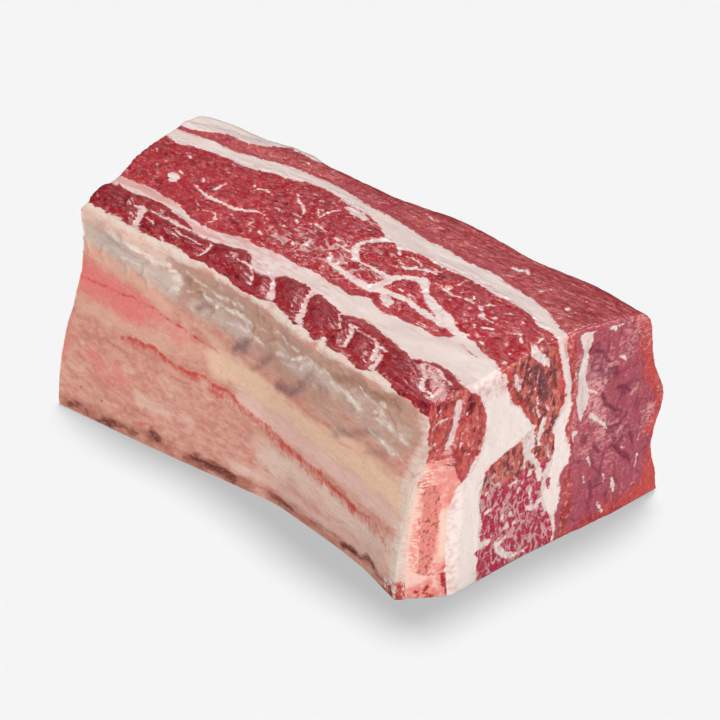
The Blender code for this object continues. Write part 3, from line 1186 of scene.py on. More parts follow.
@dataclass(frozen=True)
class BoneLook:
    """Sawn rib: a pink, striped rim round a speckled spongy core that pales towards the fat."""

    pink: Colour = (236, 142, 134)
    stripe: Colour = (216, 92, 90)
    cream: Colour = (240, 205, 186)
    core: Colour = (218, 134, 120)
    hole: Colour = (150, 62, 56)

    def colour(self, shader: Shader) -> Socket:
        """The colour of the bone.

        Args:
            shader: The finish's shader.

        Returns:
            The socket with the colour.
        """
        colour = shader.blend(shader.between(shader.noise(2.5, 3), 0.42, 0.8), self.pink, self.cream)
        pale = shader.marked("cream_bone", shader.noise(3, 3), 0.6, 0, 1)
        colour = shader.blend(pale, colour, self.cream)
        flush = shader.marked("flush", shader.noise(1.4, 3), 0.9)
        colour = shader.blend(flush, colour, self.stripe)
        lines = shader.times(self.saw_lines(shader), shader.mark("sawn"))
        colour = shader.blend(lines, colour, self.cream)
        core = shader.marked("core", shader.noise(1.2, 3), 0.9, 0.2, 0.8)
        spongy = shader.blend(shader.between(shader.noise(0.8, 3), 0.35, 0.65), self.core, self.pink)
        colour = shader.blend(core, colour, spongy)
        pores = shader.between(shader.noise(0.7, 3, (1, 1, 0.7)), 0.47, 0.38)
        pores = shader.times(pores, shader.times(core, shader.between(shader.noise(2, 2), 0.3, 0.5)))
        return shader.blend(shader.times(pores, 0.8), colour, self.hole)

    def saw_lines(self, shader: Shader) -> Socket:
        """Fine slanting lines left by the saw, from 0 to 1."""
        waver = shader.wobble(shader.noise(0.8, 3, (1, 0.5, 1.2)), shader.noise(3, 2), 0.1)
        return shader.between(waver, 0.48, 0.56)

    def height(self, shader: Shader) -> Socket:
        """The fine relief."""
        return shader.plus(shader.times(shader.noise(0.5, 2), 0.7), 0.1)


@dataclass(frozen=True)
class Tone:
    """A colour that a mark lays over what is below it, broken up by clouds."""

    mark: str
    colour: Colour
    clouds: float
    broken: float
    stretch: Triple = (0.5, 1, 1)


@dataclass(frozen=True)
class LiningLook:
    """The chest lining over rib and muscle: a moist skin with soft bands, stains and wrinkles."""

    salmon: Colour = (216, 158, 141)
    flushed: Colour = (201, 126, 107)
    light: Colour = (229, 188, 170)
    tones: tuple[Tone, ...] = (
        Tone("milk", (229, 197, 181), 4.0, 0.7),
        Tone("peach", (224, 172, 151), 4.0, 0.6),
        Tone("tan", (191, 150, 132), 4.0, 0.8),
        Tone("yellow", (234, 194, 165), 4.0, 0.5),
        Tone("umber", (166, 122, 104), 2.4, 0.9),
        Tone("grey", (206, 185, 173), 3.0, 0.9),
        Tone("mauve", (229, 189, 175), 3.0, 0.6),
        Tone("blush", (230, 124, 118), 4.0, 0.8),
        Tone("slate", (146, 104, 104), 3.0, 0.6),
        Tone("white", (234, 222, 212), 1.4, 1.0),
        Tone("darker_brown", (180, 110, 92), 2.0, 0.8),
        Tone("cream", (224, 206, 194), 1.6, 0.9),
        Tone("blood", (204, 70, 58), 0.9, 0.9, (1.0, 1, 0.55)),
        Tone("clot", (112, 46, 42), 2.0, 0.9),
        Tone("gore", (158, 46, 40), 0.9, 1.0),
    )

    def colour(self, shader: Shader) -> Socket:
        """The colour of the lining.

        Args:
            shader: The finish's shader.

        Returns:
            The socket with the colour.
        """
        mottle = shader.between(shader.noise(2.0, 5, (0.55, 1, 1), warp=0.6), 0.38, 0.62)
        colour = shader.blend(shader.times(mottle, 0.75), self.salmon, self.flushed)
        lights = shader.between(shader.noise(3.2, 5, (0.45, 1, 1), warp=0.6), 0.5, 0.74)
        colour = shader.blend(shader.times(lights, 0.6), colour, self.light)
        for tone in self.tones:
            mark = shader.mark(tone.mark)
            cloud = shader.noise(tone.clouds, 4, tone.stretch, warp=0.5)
            share = shader.between(shader.wobble(mark, cloud, tone.broken), 0.02, 0.98)
            share = shader.times(share, shader.between(mark, 0.0, 0.3))
            colour = shader.blend(share, colour, tone.colour)
        fine = shader.noise(0.7, 4, (0.6, 1, 1))
        colour = shader.blend(shader.times(shader.between(fine, 0.5, 0.72), 0.3), colour, self.flushed)
        return shader.blend(shader.times(shader.between(fine, 0.5, 0.28), 0.32), colour, self.light)

    def height(self, shader: Shader) -> Socket:
        """The fine relief."""
        return shader.noise(1.1, 4, (0.45, 1, 1), warp=0.8)


@dataclass(frozen=True)
class Finish:
    """A surface: a ground look, looks laid over it where a mark falls below 0, and its gloss."""

    name: str
    ground: FleshLook | FatLook | BoneLook | LiningLook
    over: tuple[tuple[str, FleshLook | FatLook | BoneLook], ...] = ()
    wetness: Wetness = Wetness()
    bump: float = 0.4

    def make(self) -> bpy.types.Material:
        """The material.

        Returns:
            The material, new.
        """
        shader = Shader(self.name)
        colour = self.ground.colour(shader)
        fray = shader.noise(1.3, 5, (0.7, 1, 1), roughness=0.7)
        for mark, look in self.over:
            share = shader.marked(mark, fray, -1.5, 0.1, -0.22)
            colour = shader.blend(share, colour, look.colour(shader))
        shader.join("Base Color", colour)
        shader.bump(self.ground.height(shader), self.bump)
        self.wetness.apply(shader)
        return shader.material


FIRM = Wetness(smoothest=0.34, roughest=0.5, film=0.1, scatter=0.3, scatter_depth=1.0,
               scatter_tint=(1.0, 0.6, 0.5))
SKIN = Wetness(smoothest=0.3, roughest=0.5, film=0.18, scatter=0.25, scatter_depth=0.8,
               scatter_tint=(1.0, 0.5, 0.4))
RIB_LOOK = MuscleLook(
    deep=(100, 14, 26), red=(152, 30, 40), bright=(184, 66, 70), rim=(184, 46, 50),
    warm=(206, 90, 84), sear=(178, 74, 68), heart=(116, 26, 36), grain=2.0, rim_share=0.45,
    fat=(228, 198, 194), fat_shade=(212, 156, 152), glint_share=0.25, fleck_level=0.7, net_size=2.0,
)
INNER_LOOK = MuscleLook(
    deep=(122, 16, 30), red=(170, 34, 46), bright=(202, 84, 87), warm=(204, 102, 88),
    sear=(124, 54, 56), heart=(116, 66, 74), glint_share=0.3, fleck_level=0.635,
    tint=(184, 48, 84), tint_share=0.75,
)
OUTER_LOOK = MuscleLook(
    deep=(148, 42, 52), red=(168, 58, 66), bright=(188, 86, 88), rim=(216, 82, 74),
    warm=(192, 80, 76), sear=(170, 60, 62), heart=(122, 48, 70), pale=(226, 160, 160),
    tint=(178, 86, 102), tint_share=0.8, grain=3.0, rim_share=0.25, fleck_level=0.74,
    glint_share=0.4, fat_shade=(225, 194, 189),
)


@dataclass(frozen=True)
class FloorFinish:
    """Plain pale paper."""

    name: str = "pale_floor"
    paper: Colour = (237, 237, 237)
    shaded_paper: Colour = (236, 236, 236)

    def make(self) -> bpy.types.Material:
        """The material.

        Returns:
            The material, new.
        """
        shader = Shader(self.name)
        fibres = shader.noise(0.6, 2)
        shader.join("Base Color", shader.blend(fibres, self.paper, self.shaded_paper))
        shader.set("Roughness", 0.9)
        shader.set("Specular IOR Level", 0.1)
        return shader.material


LOBE_BORDER = (24, 29)  # between these heights the marbled muscle turns from crimson to brown
RIB_BROWNED = 0.75  # how brown the dark muscle is on the cut end, on each piece that shows it


@dataclass
class Layer:
    """One layer of the block: what every piece shares.

    A piece's own class gives its sheets, the lines it was drawn with, its relief and its marks.
    front is its sheet on the side of the chest lining, and back the one on the side of the back,
    as y at each (x, z). foot and head are the heights of its lower and upper face at (x, y), and
    near is the x of its near end at (y, z). crown is how far the top bulges between the seams,
    fine is the spacing of the slices, and swerve is how far chance moves a vein. Once the layer is
    made, points are its own points, tops and ends are where they show on the top and on the near
    end, and facing is the way out at each of them. Depths and reaches are millimetres.
    """

    name: str
    slot: str
    finish: Finish
    front: Surface
    back: Surface
    foot: Surface = CUTS.base_cut
    head: Surface = CUTS.top_cut
    near: Surface = CUTS.near_cut
    front_line: Line | None = None
    back_line: Line | None = None
    full_height: bool = True
    crown: float = 0.0
    fine: float = FINE
    least_across: int = 4
    hidden: tuple[Side, ...] = (Side.FRONT, Side.BACK)
    base_step: int = BASE_STEP
    swerve: float = 0.22
    far_drift: float = 1.6
    fray_depth: float = 0.22
    shared_relief: float = 0.13
    seam_reach: float = 1.2
    box: SlicedBox = field(init=False)
    points: Array = field(init=False)
    tops: Array = field(init=False)
    ends: Array = field(init=False)
    facing: Array = field(init=False)

    def place(self, shares: Array) -> Array:
        """Where the points of the box lie in the block.

        Args:
            shares: Each point's shares along, across and up the layer, (n, 3).

        Returns:
            The points in millimetres, (n, 3).
        """
        u, v, w = shares.T
        bulge = self.crown * 4 * v * (1 - v) * w
        z = CUTS.height * w
        x = mix(CUTS.far_end, CUTS.near_end, u)
        y = mix(self.front(x, z), self.back(x, z), v)
        for _ in range(SETTLING_ROUNDS):
            y = mix(y, mix(self.front(x, z), self.back(x, z), v), 0.5)
            x = mix(x, mix(CUTS.far_cut(y, z), self.near(y, z), u), 0.5)
            height = mix(self.foot(x, y), self.head(x, y), w) + bulge
            if self.full_height:
                height = height + CUTS.lift(x, CUTS.height * w)
            z = mix(z, height, 0.5)
        return np.stack([x, y, z], axis=1)

    def carving(self) -> Array:
        """How far out each point of the box is carved, in millimetres, away from the seams."""
        raise NotImplementedError

    def marks(self) -> dict[str, Array]:
        """The marks for the finish, one value for each point."""
        raise NotImplementedError

    def seam_gap(self) -> Array:
        """How far each point lies from the sheets that the layer shares with its neighbours."""
        return np.minimum(self.from_front(), self.from_back())

    def relief(self) -> Array:
        """How far out each point is carved: alike in all layers where they meet."""
        shared = self.shared_relief * Grain(12).rough(self.points, (9, 5, 5))
        return shared + self.carving() * smoothstep(0, self.seam_reach, self.seam_gap())

    def seen(self, *sides: Side) -> Array:
        """Which points lie on any of these sides.

        Args:
            sides: The sides, of which hidden ones count for nothing.

        Returns:
            True or false for each point.
        """
        found = np.zeros(len(self.points), bool)
        for side in sides:
            if side in self.box.on:
                found |= self.box.on[side]
        return found

    def from_front(self) -> Array:
        """How far each point lies behind the front sheet."""
        x, y, z = self.points.T
        return y - self.front(x, z)

    def from_back(self) -> Array:
        """How far each point lies before the back sheet."""
        x, y, z = self.points.T
        return self.back(x, z) - y

    def end_places(self) -> Array:
        """The (y, z) at which each point would show on the near end.

        A layer runs the whole length, so the far end shows the near end's veins, shifted a little.

        Returns:
            The places, (n, 2).
        """
        shares = self.box.shares.copy()
        shares[:, 0] = 1
        on_end = as_seen(self.place(shares), 0, CUTS.near_end)
        drift = np.stack([Grain(5).smooth(self.points, 9), Grain(6).smooth(self.points, 9)], 1)
        return on_end + self.far_drift * drift * self.seen(Side.FAR)[:, None]

    def vein_gap(self, top: Veins, end: Veins) -> Array:
        """How far each point lies outside the nearest vein of the side that it is on.

        Args:
            top: The veins of the upper cut, as (x, y).
            end: The veins of the near end, as (y, z).

        Returns:
            The gap at each point.
        """
        moves = np.stack([Grain(3).rough(self.points, 2.2), Grain(4).rough(self.points, 2.2)], 1)
        gap = np.full(len(self.points), FAR_AWAY)
        for veins, places, on in ((top, self.tops, self.seen(Side.TOP)),
                                  (end, self.ends, self.seen(Side.NEAR, Side.FAR))):
            found = gap_to(veins, (places + self.swerve * moves)[on])
            gap[on] = np.minimum(gap[on], found)
        return gap

    def fray(self) -> Array:
        """Small moves in and out that keep a drawn line from running too clean."""
        return self.fray_depth * Grain(13).rough(self.points, (3.0, 1.6, 1.6))

    def drawn_depth(self, front: Line | None, back: Line | None) -> Array:
        """How far each point lies inside drawn lines, or inside the seams where none are drawn.

        Args:
            front: The line on the side of the chest lining, if any.
            back: The line on the side of the back, if any.

        Returns:
            The depth, which is negative outside the lines.
        """
        frayed = self.fray()
        depth = self.seam_gap() + frayed
        for part, places, on in (("top", self.tops, self.seen(Side.TOP)),
                                 ("end", self.ends[:, ::-1], self.seen(Side.NEAR, Side.FAR))):
            inside = np.full(len(depth), FAR_AWAY)
            for line, way in ((front, 1), (back, -1)):
                profile = line and getattr(line, part)
                if profile:
                    inside = np.minimum(inside, way * beyond(profile, *places.T) + frayed)
            depth = np.where(on, inside, depth)
        return np.clip(depth, -FAR_AWAY, FAR_AWAY)

    def depth(self) -> Array:
        """How far each point lies inside the lines that the layer was drawn with."""
        return self.drawn_depth(self.front_line, self.back_line)

    def normals(self, points: Array) -> Array:
        """The outward direction at each point, from the fine faces round it.

        Args:
            points: The points, (n, 3).

        Returns:
            The directions, (n, 3).
        """
        quads = self.box.quads_kept
        first, second, third, fourth = (points[quads[:, i]] for i in range(4))
        facing = np.cross(third - first, fourth - second)
        total = np.zeros_like(points)
        for corner in range(4):
            for axis in range(3):
                total[:, axis] += np.bincount(quads[:, corner], facing[:, axis], len(points))
        return total / np.maximum(np.linalg.norm(total, axis=1, keepdims=True), 1e-9)

    def counts(self) -> tuple[int, int, int]:
        """How many fine slices the box has along each axis.

        Returns:
            The numbers of slices along, across and up.
        """
        middle = np.full(SAMPLES, 0.5)
        ends = self.place(np.array([(0, 0.5, 0.5), (1, 0.5, 0.5)]))
        upward = self.place(np.stack([middle, middle, np.linspace(0, 1, SAMPLES)], 1))
        fronts = self.place(np.array([(1, 0, 1), (0.5, 0, 1), (1, 0, 0.5)]))
        backs = self.place(np.array([(1, 1, 1), (0.5, 1, 1), (1, 1, 0.5)]))
        length = np.linalg.norm(ends[1] - ends[0])
        width = np.linalg.norm(backs - fronts, axis=1).max()
        height = np.linalg.norm(np.diff(upward, axis=0), axis=1).sum()
        wide = max(self.least_across, round(width / self.fine))
        return round(length / self.fine), wide, round(height / self.fine)

    def make(self, low: Vector, high: Vector) -> bpy.types.Object:
        """Builds the piece, carves it and marks it.

        Args:
            low: The lowest corner of the block's box, in metres.
            high: The highest corner of the block's box, in metres.

        Returns:
            The piece.
        """
        coarse = {side: HIDDEN_STEP for side in self.hidden} | {Side.BASE: self.base_step}
        self.box = SlicedBox(self.counts(), coarse)
        self.points = self.place(self.box.shares)
        self.tops = as_seen(self.points, 2, CUTS.height)
        self.ends = self.end_places()
        self.facing = self.normals(self.points)
        carved = self.points + self.facing * self.relief()[:, None]
        metres = (carved - np.array([*CUTS.centre, 0])) * MM
        metres = np.clip(metres, np.array(low), np.array(high))
        mesh = bpy.data.meshes.new(self.name)
        mesh.from_pydata(metres.tolist(), [], self.box.quads_kept.tolist() + self.box.wide)
        mesh.shade_smooth()
        mesh.set_sharp_from_angle(angle=SHARP_ANGLE)
        for mark, values in {"cut_end": self.cut_end(), **self.marks()}.items():
            layer = mesh.attributes.new(mark, "FLOAT", "POINT")
            layer.data.foreach_set("value", np.asarray(values, np.float32))
        piece = bpy.data.objects.new(self.name + "_dressed", mesh)
        piece.visible_diffuse = False
        bpy.context.scene.collection.objects.link(piece)
        piece.data.materials.append(self.finish.make())
        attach(piece, "root")
        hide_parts(self.name)
        return piece

    def cut_end(self) -> Array:
        """1 where a point faces along the rib, as on a saw cut, and 0 where it faces across it."""
        return smoothstep(0.2, 0.9, np.abs(self.facing[:, 0]))

    def lobe_tones(self) -> dict[str, Array]:
        """Where the lobes of the marbled muscle have browned on the cut end, or are crimson."""
        browned = smoothstep(*LOBE_BORDER, self.ends[:, 1]) * self.cut_end()
        return {"warm": browned, "tinted": (1 - browned) * self.cut_end()}

    def above_bone(self) -> Array:
        """How far above the bone's upper edge each point of the ends lies, as it was drawn."""
        height = beyond(BONE_LINE, *self.ends.T) + 0.25 * Grain(14).rough(self.points, 2)
        return np.where(self.seen(Side.NEAR, Side.FAR), np.clip(height, -FAR_AWAY, FAR_AWAY), 1)


@dataclass
class Muscle(Layer):
    """A layer of muscle: bundles of fibre that run along the rib."""

    top_veins: Veins = ()
    end_veins: Veins = ()
    bundle: Triple = (8.0, 2.4, 2.4)
    bundle_rise: float = 0.08
    bundle_depth: float = 0.22
    bundle_border: float = 0.35
    groove_depth: float = 0.1
    groove_reach: float = 0.6
    flecked: float = 0.3

    def carving(self) -> Array:
        """Bundles stand a little proud of the grooves between them and of the veins.

        Returns:
            The relief at each point.
        """
        gap = self.vein_gap(self.top_veins, self.end_veins)
        borders = fade(self.bundle_border, Grain(11).bundles(self.points, self.bundle))
        grooves = fade(self.groove_reach, gap)
        return self.bundle_rise - self.bundle_depth * borders - self.groove_depth * grooves

    def marks(self) -> dict[str, Array]:
        """Where the fat, the bright rims and the dark hearts lie, and how marbled the flesh is.

        Returns:
            The marks by name.
        """
        gap = self.vein_gap(self.top_veins, self.end_veins)
        return {
            "fat_gap": np.minimum(gap, self.depth()),
            "rim": self.rim(),
            "warm": self.warm(),
            "heart": self.heart(),
            "marbled": self.marbled(),
            "netted": self.netted(),
        }

    def rim(self) -> Array:
        """Where the flesh is brighter, beside what it is along its border."""
        return np.zeros(len(self.points))

    def warm(self) -> Array:
        """Where the flesh has browned."""
        return np.zeros(len(self.points))

    def heart(self) -> Array:
        """Where the flesh has darkened."""
        return np.zeros(len(self.points))

    def marbled(self) -> Array:
        """How heavily the flesh is flecked with fat."""
        return np.full(len(self.points), self.flecked)

    def netted(self) -> Array:
        """How plainly fat shows between the bundles."""
        return np.zeros(len(self.points))


def bone_marks(ends: Array, behind: Array) -> dict[str, Array]:
    """The marks of sawn bone: its spongy core, saw lines, flushed spots and its paler side.

    Args:
        ends: The (y, z) at which each point shows on the near end.
        behind: How far each point lies behind the lining.

    Returns:
        The marks by name.
    """
    y, z = ends.T
    core = fade(2.2, Vein(
        (3.2, 4.4, 3.6, 3.2, 3.0, 1.5),
        ((-32.5, 35), (-32.3, 30), (-32.7, 25), (-33.5, 20), (-34, 16), (-34.8, 13)),
    ).gap(ends))
    flushed = (
        Stain(1.6, 3, 0.8, ((-36.5, 40), (-34.5, 37))),
        Stain(1.0, 3, 0.7, ((-25.8, 33.5), (-25.3, 31))),
        Stain(0.8, 2, 0.6, ((-33, 10.8), (-27, 10.6))),
        Stain(0.5, 1.5, 0.6, ((-36.7, 34), (-36.3, 24), (-36, 18))),
    )
    pale = smoothstep(-31, -28.5, y) * smoothstep(12, 17, z) * fade(7, z - 25)
    return {
        "core": core,
        "sawn": 0.9 * fade(7, y + 34) * (1 - core),
        "flush": share_of(flushed, ends),
        "cream_bone": np.maximum(1.1 * pale, 0.7 * fade(1.2, behind - 0.3)),
    }


@dataclass
class RibMuscle(Muscle):
    """The dark muscle on the rib, in rounded lobes between slanting threads of fat."""

    name: str = "rib_muscle"
    slot: str = "dark_muscle"
    crown: float = 0.7
    full_height: bool = False
    front: Surface = CUTS.lining_back
    back: Surface = RIB_TO_FAT
    foot: Surface = CUTS.bone_head
    base_step: int = HIDDEN_STEP
    fine: float = FINER
    front_line: Line | None = LINING_LINE
    back_line: Line | None = RIB_LINE
    finish: Finish = Finish("dark_rib_muscle", RIB_LOOK, (("above_bone", BoneLook()),), bump=0.4)
    lobe_rise: float = 0.75
    lobe_sink: float = 0.42
    lobe_reach: float = 3.0
    top_veins: Veins = (
        Vein((0.8, 1.9, 1.7, 1.5, 1.4, 1.5, 1.5, 1.8), (
            (-62, -24.2), (-60, -24), (-58.5, -24.8), (-57.3, -26.3), (-56, -28.3), (-54.8, -30),
            (-53, -31.6), (-51.8, -32.6))),
        Vein(0.6, ((-60, -23.9), (-57, -23), (-54, -22.6), (-46, -22.5), (-43, -22.1),
                   (-40, -21.6), (-37, -21), (-34, -20.4), (-32, -19.9))),
        Vein(0.5, ((-55.5, -26), (-54, -26.3), (-52.5, -26), (-51.5, -26.8))),
        Vein(0.5, ((-44.7, -24.5), (-43, -24.8), (-40, -24.7), (-34.5, -24.3))),
        Vein(0.4, ((-44, -26.2), (-41, -26.3))),
        Vein(0.6, ((-45, -29.5), (-43.5, -30.3), (-42, -31.2), (-41, -31.8))),
        Vein(0.6, ((-33, -22), (-31.5, -24.5), (-30.8, -27.5), (-30, -30.5))),
        Vein(0.5, ((-23, -22), (-21.5, -22.3), (-20, -21.9), (-17.5, -22), (-16, -22.8),
                   (-14.5, -24), (-13, -25.5), (-12, -26.8), (-11, -28))),
        Vein(0.4, ((-16.5, -21), (-14.5, -22.5), (-12.5, -22.3))),
        Vein((0.7, 1.0, 1.2, 1.2, 1.4, 1.7, 2.1), (
            (-11.5, -20), (-10, -21), (-8, -22.5), (-6.5, -24), (-5, -25.5), (-3.8, -27),
            (-2.8, -28.5))),
        Vein((1.0, 1.2, 1.3, 1.3, 1.5, 1.7, 1.8, 2.0, 2.6), (
            (2.7, -18.3), (3.2, -20), (4, -21.8), (5.5, -23.7), (6.8, -25.3), (8, -27),
            (9.3, -28.8), (10.7, -30.5), (12.3, -32.3))),
        Vein(0.6, ((15, -20.3), (17.5, -22.5), (19.5, -24.5))),
        Vein(1.0, ((20, -21.3), (21.5, -22), (23, -23.5), (24.5, -25.5), (25.5, -27.5),
                   (26.8, -29.3))),
        Vein(0.6, ((20, -20.8), (23, -21.3), (27, -21.5), (30, -21.7), (31.5, -22.3))),
        Vein(1.0, ((20.8, -30.3), (22, -31.5), (23, -32.7))),
        Vein(1.2, ((31, -21.8), (32.5, -23.7), (34, -25.7), (35.5, -27.5), (36.8, -29))),
        Vein(1.3, ((34.5, -24.5), (36, -26), (37.3, -28), (38.3, -30), (39.3, -32), (39.8, -33.5))),
        Vein(2.0, ((33.2, -22.6), (35, -23))),
        Vein((0.6, 0.8, 1.0, 1.1, 1.3, 1.0, 0.8), (
            (46, -20.5), (48, -22.3), (50, -24), (51.3, -25.8), (52.8, -27.5), (54.5, -28.4),
            (56, -28))),
        Vein((0.8, 1.2, 1.4, 1.2), ((57, -25), (57.5, -29), (57.3, -33), (56.5, -34.5))),
        Vein(0.7, ((46, -18.7), (50, -19.5), (54, -21), (58, -21.5))),
        Vein(0.6, ((49, -21), (53, -23), (56, -23.5))),
    )
    end_veins: Veins = (
        Vein((1.6, 2.2, 2.0, 1.8, 1.5, 1.8, 2.0, 2.2, 1.5), (
            (-23.3, 57.5), (-23.5, 56), (-24, 54), (-24.3, 52.5), (-23.8, 51), (-24.8, 50),
            (-25.5, 48.5), (-26.5, 47), (-27.5, 46))),
        Vein(0.8, ((-35, 54.7), (-32, 55), (-28, 54.7), (-25.7, 54))),
        Vein(0.7, ((-27.7, 42.5), (-26.5, 40.5), (-25.5, 38.8), (-24.5, 37), (-23.5, 35.2),
                   (-23, 33.5))),
        Vein(0.8, ((-21.8, 48), (-22, 46.5))),
        Vein(0.6, ((-23, 44.3), (-22.3, 45))),
        Vein(0.5, ((-20.8, 41), (-19.7, 40.6))),
        Vein(0.6, ((-20.5, 53),)),
        Vein(0.6, ((-33, 59.5), (-31.5, 57.5), (-29, 57.8))),
        Vein(0.5, ((-33.5, 50.5), (-31.5, 49), (-30.5, 46.5))),
    )

    def carving(self) -> Array:
        """The lobes bulge between the threads of fat.

        Returns:
            The relief at each point.
        """
        gap = np.minimum(self.vein_gap(self.top_veins, self.end_veins), self.depth())
        lobes = self.lobe_rise * smoothstep(-0.3, self.lobe_reach, gap)
        return super().carving() + lobes - self.lobe_sink

    def marks(self) -> dict[str, Array]:
        """Those of the muscle, and of the bone that shows below it on the cut end."""
        bone = bone_marks(self.ends, self.from_front())
        return {**super().marks(), **bone, "above_bone": self.above_bone(), "frayed": self.frayed()}

    def warm(self) -> Array:
        """The lobes are browner on the cut end."""
        return RIB_BROWNED * self.cut_end()

    def heart(self) -> Array:
        """The lobes have dark hearts on the top, and some dark spots on the cut end.

        Returns:
            The share at each point.
        """
        gap = self.vein_gap(self.top_veins, ())
        spots = (
            Stain(1.6, 3, 0.8, ((-19.5, 57), (-20, 54))),
            Stain(1.2, 2, 0.7, ((-21.8, 43),)),
            Stain(2.5, 4, 0.6, ((-33, 59.5), (-28, 59))),
            Stain(1.0, 3, 0.5, ((-19, 50), (-18.5, 44))),
        )
        on_top = 0.4 * smoothstep(1.0, 2.8, np.minimum(gap, self.depth()))
        return mix(on_top, share_of(spots, self.ends), self.cut_end())

    def frayed(self) -> Array:
        """Pale threads reach into the lobes from the lining, and lie over them by the near end.

        Returns:
            The share at each point.
        """
        x, y = self.tops.T
        from_lining = beyond(LINING_LINE.top, x, y) + 1.2 * Grain(15).rough(self.points, (3, 6, 6))
        webbed = Stain(2.5, 4, 0.9, ((47, -21), (53, -22.5), (59, -27), (59, -33)))
        fringe = 0.5 * fade(3, from_lining)
        return np.maximum(fringe, webbed.share(self.tops)) * self.seen(Side.TOP)


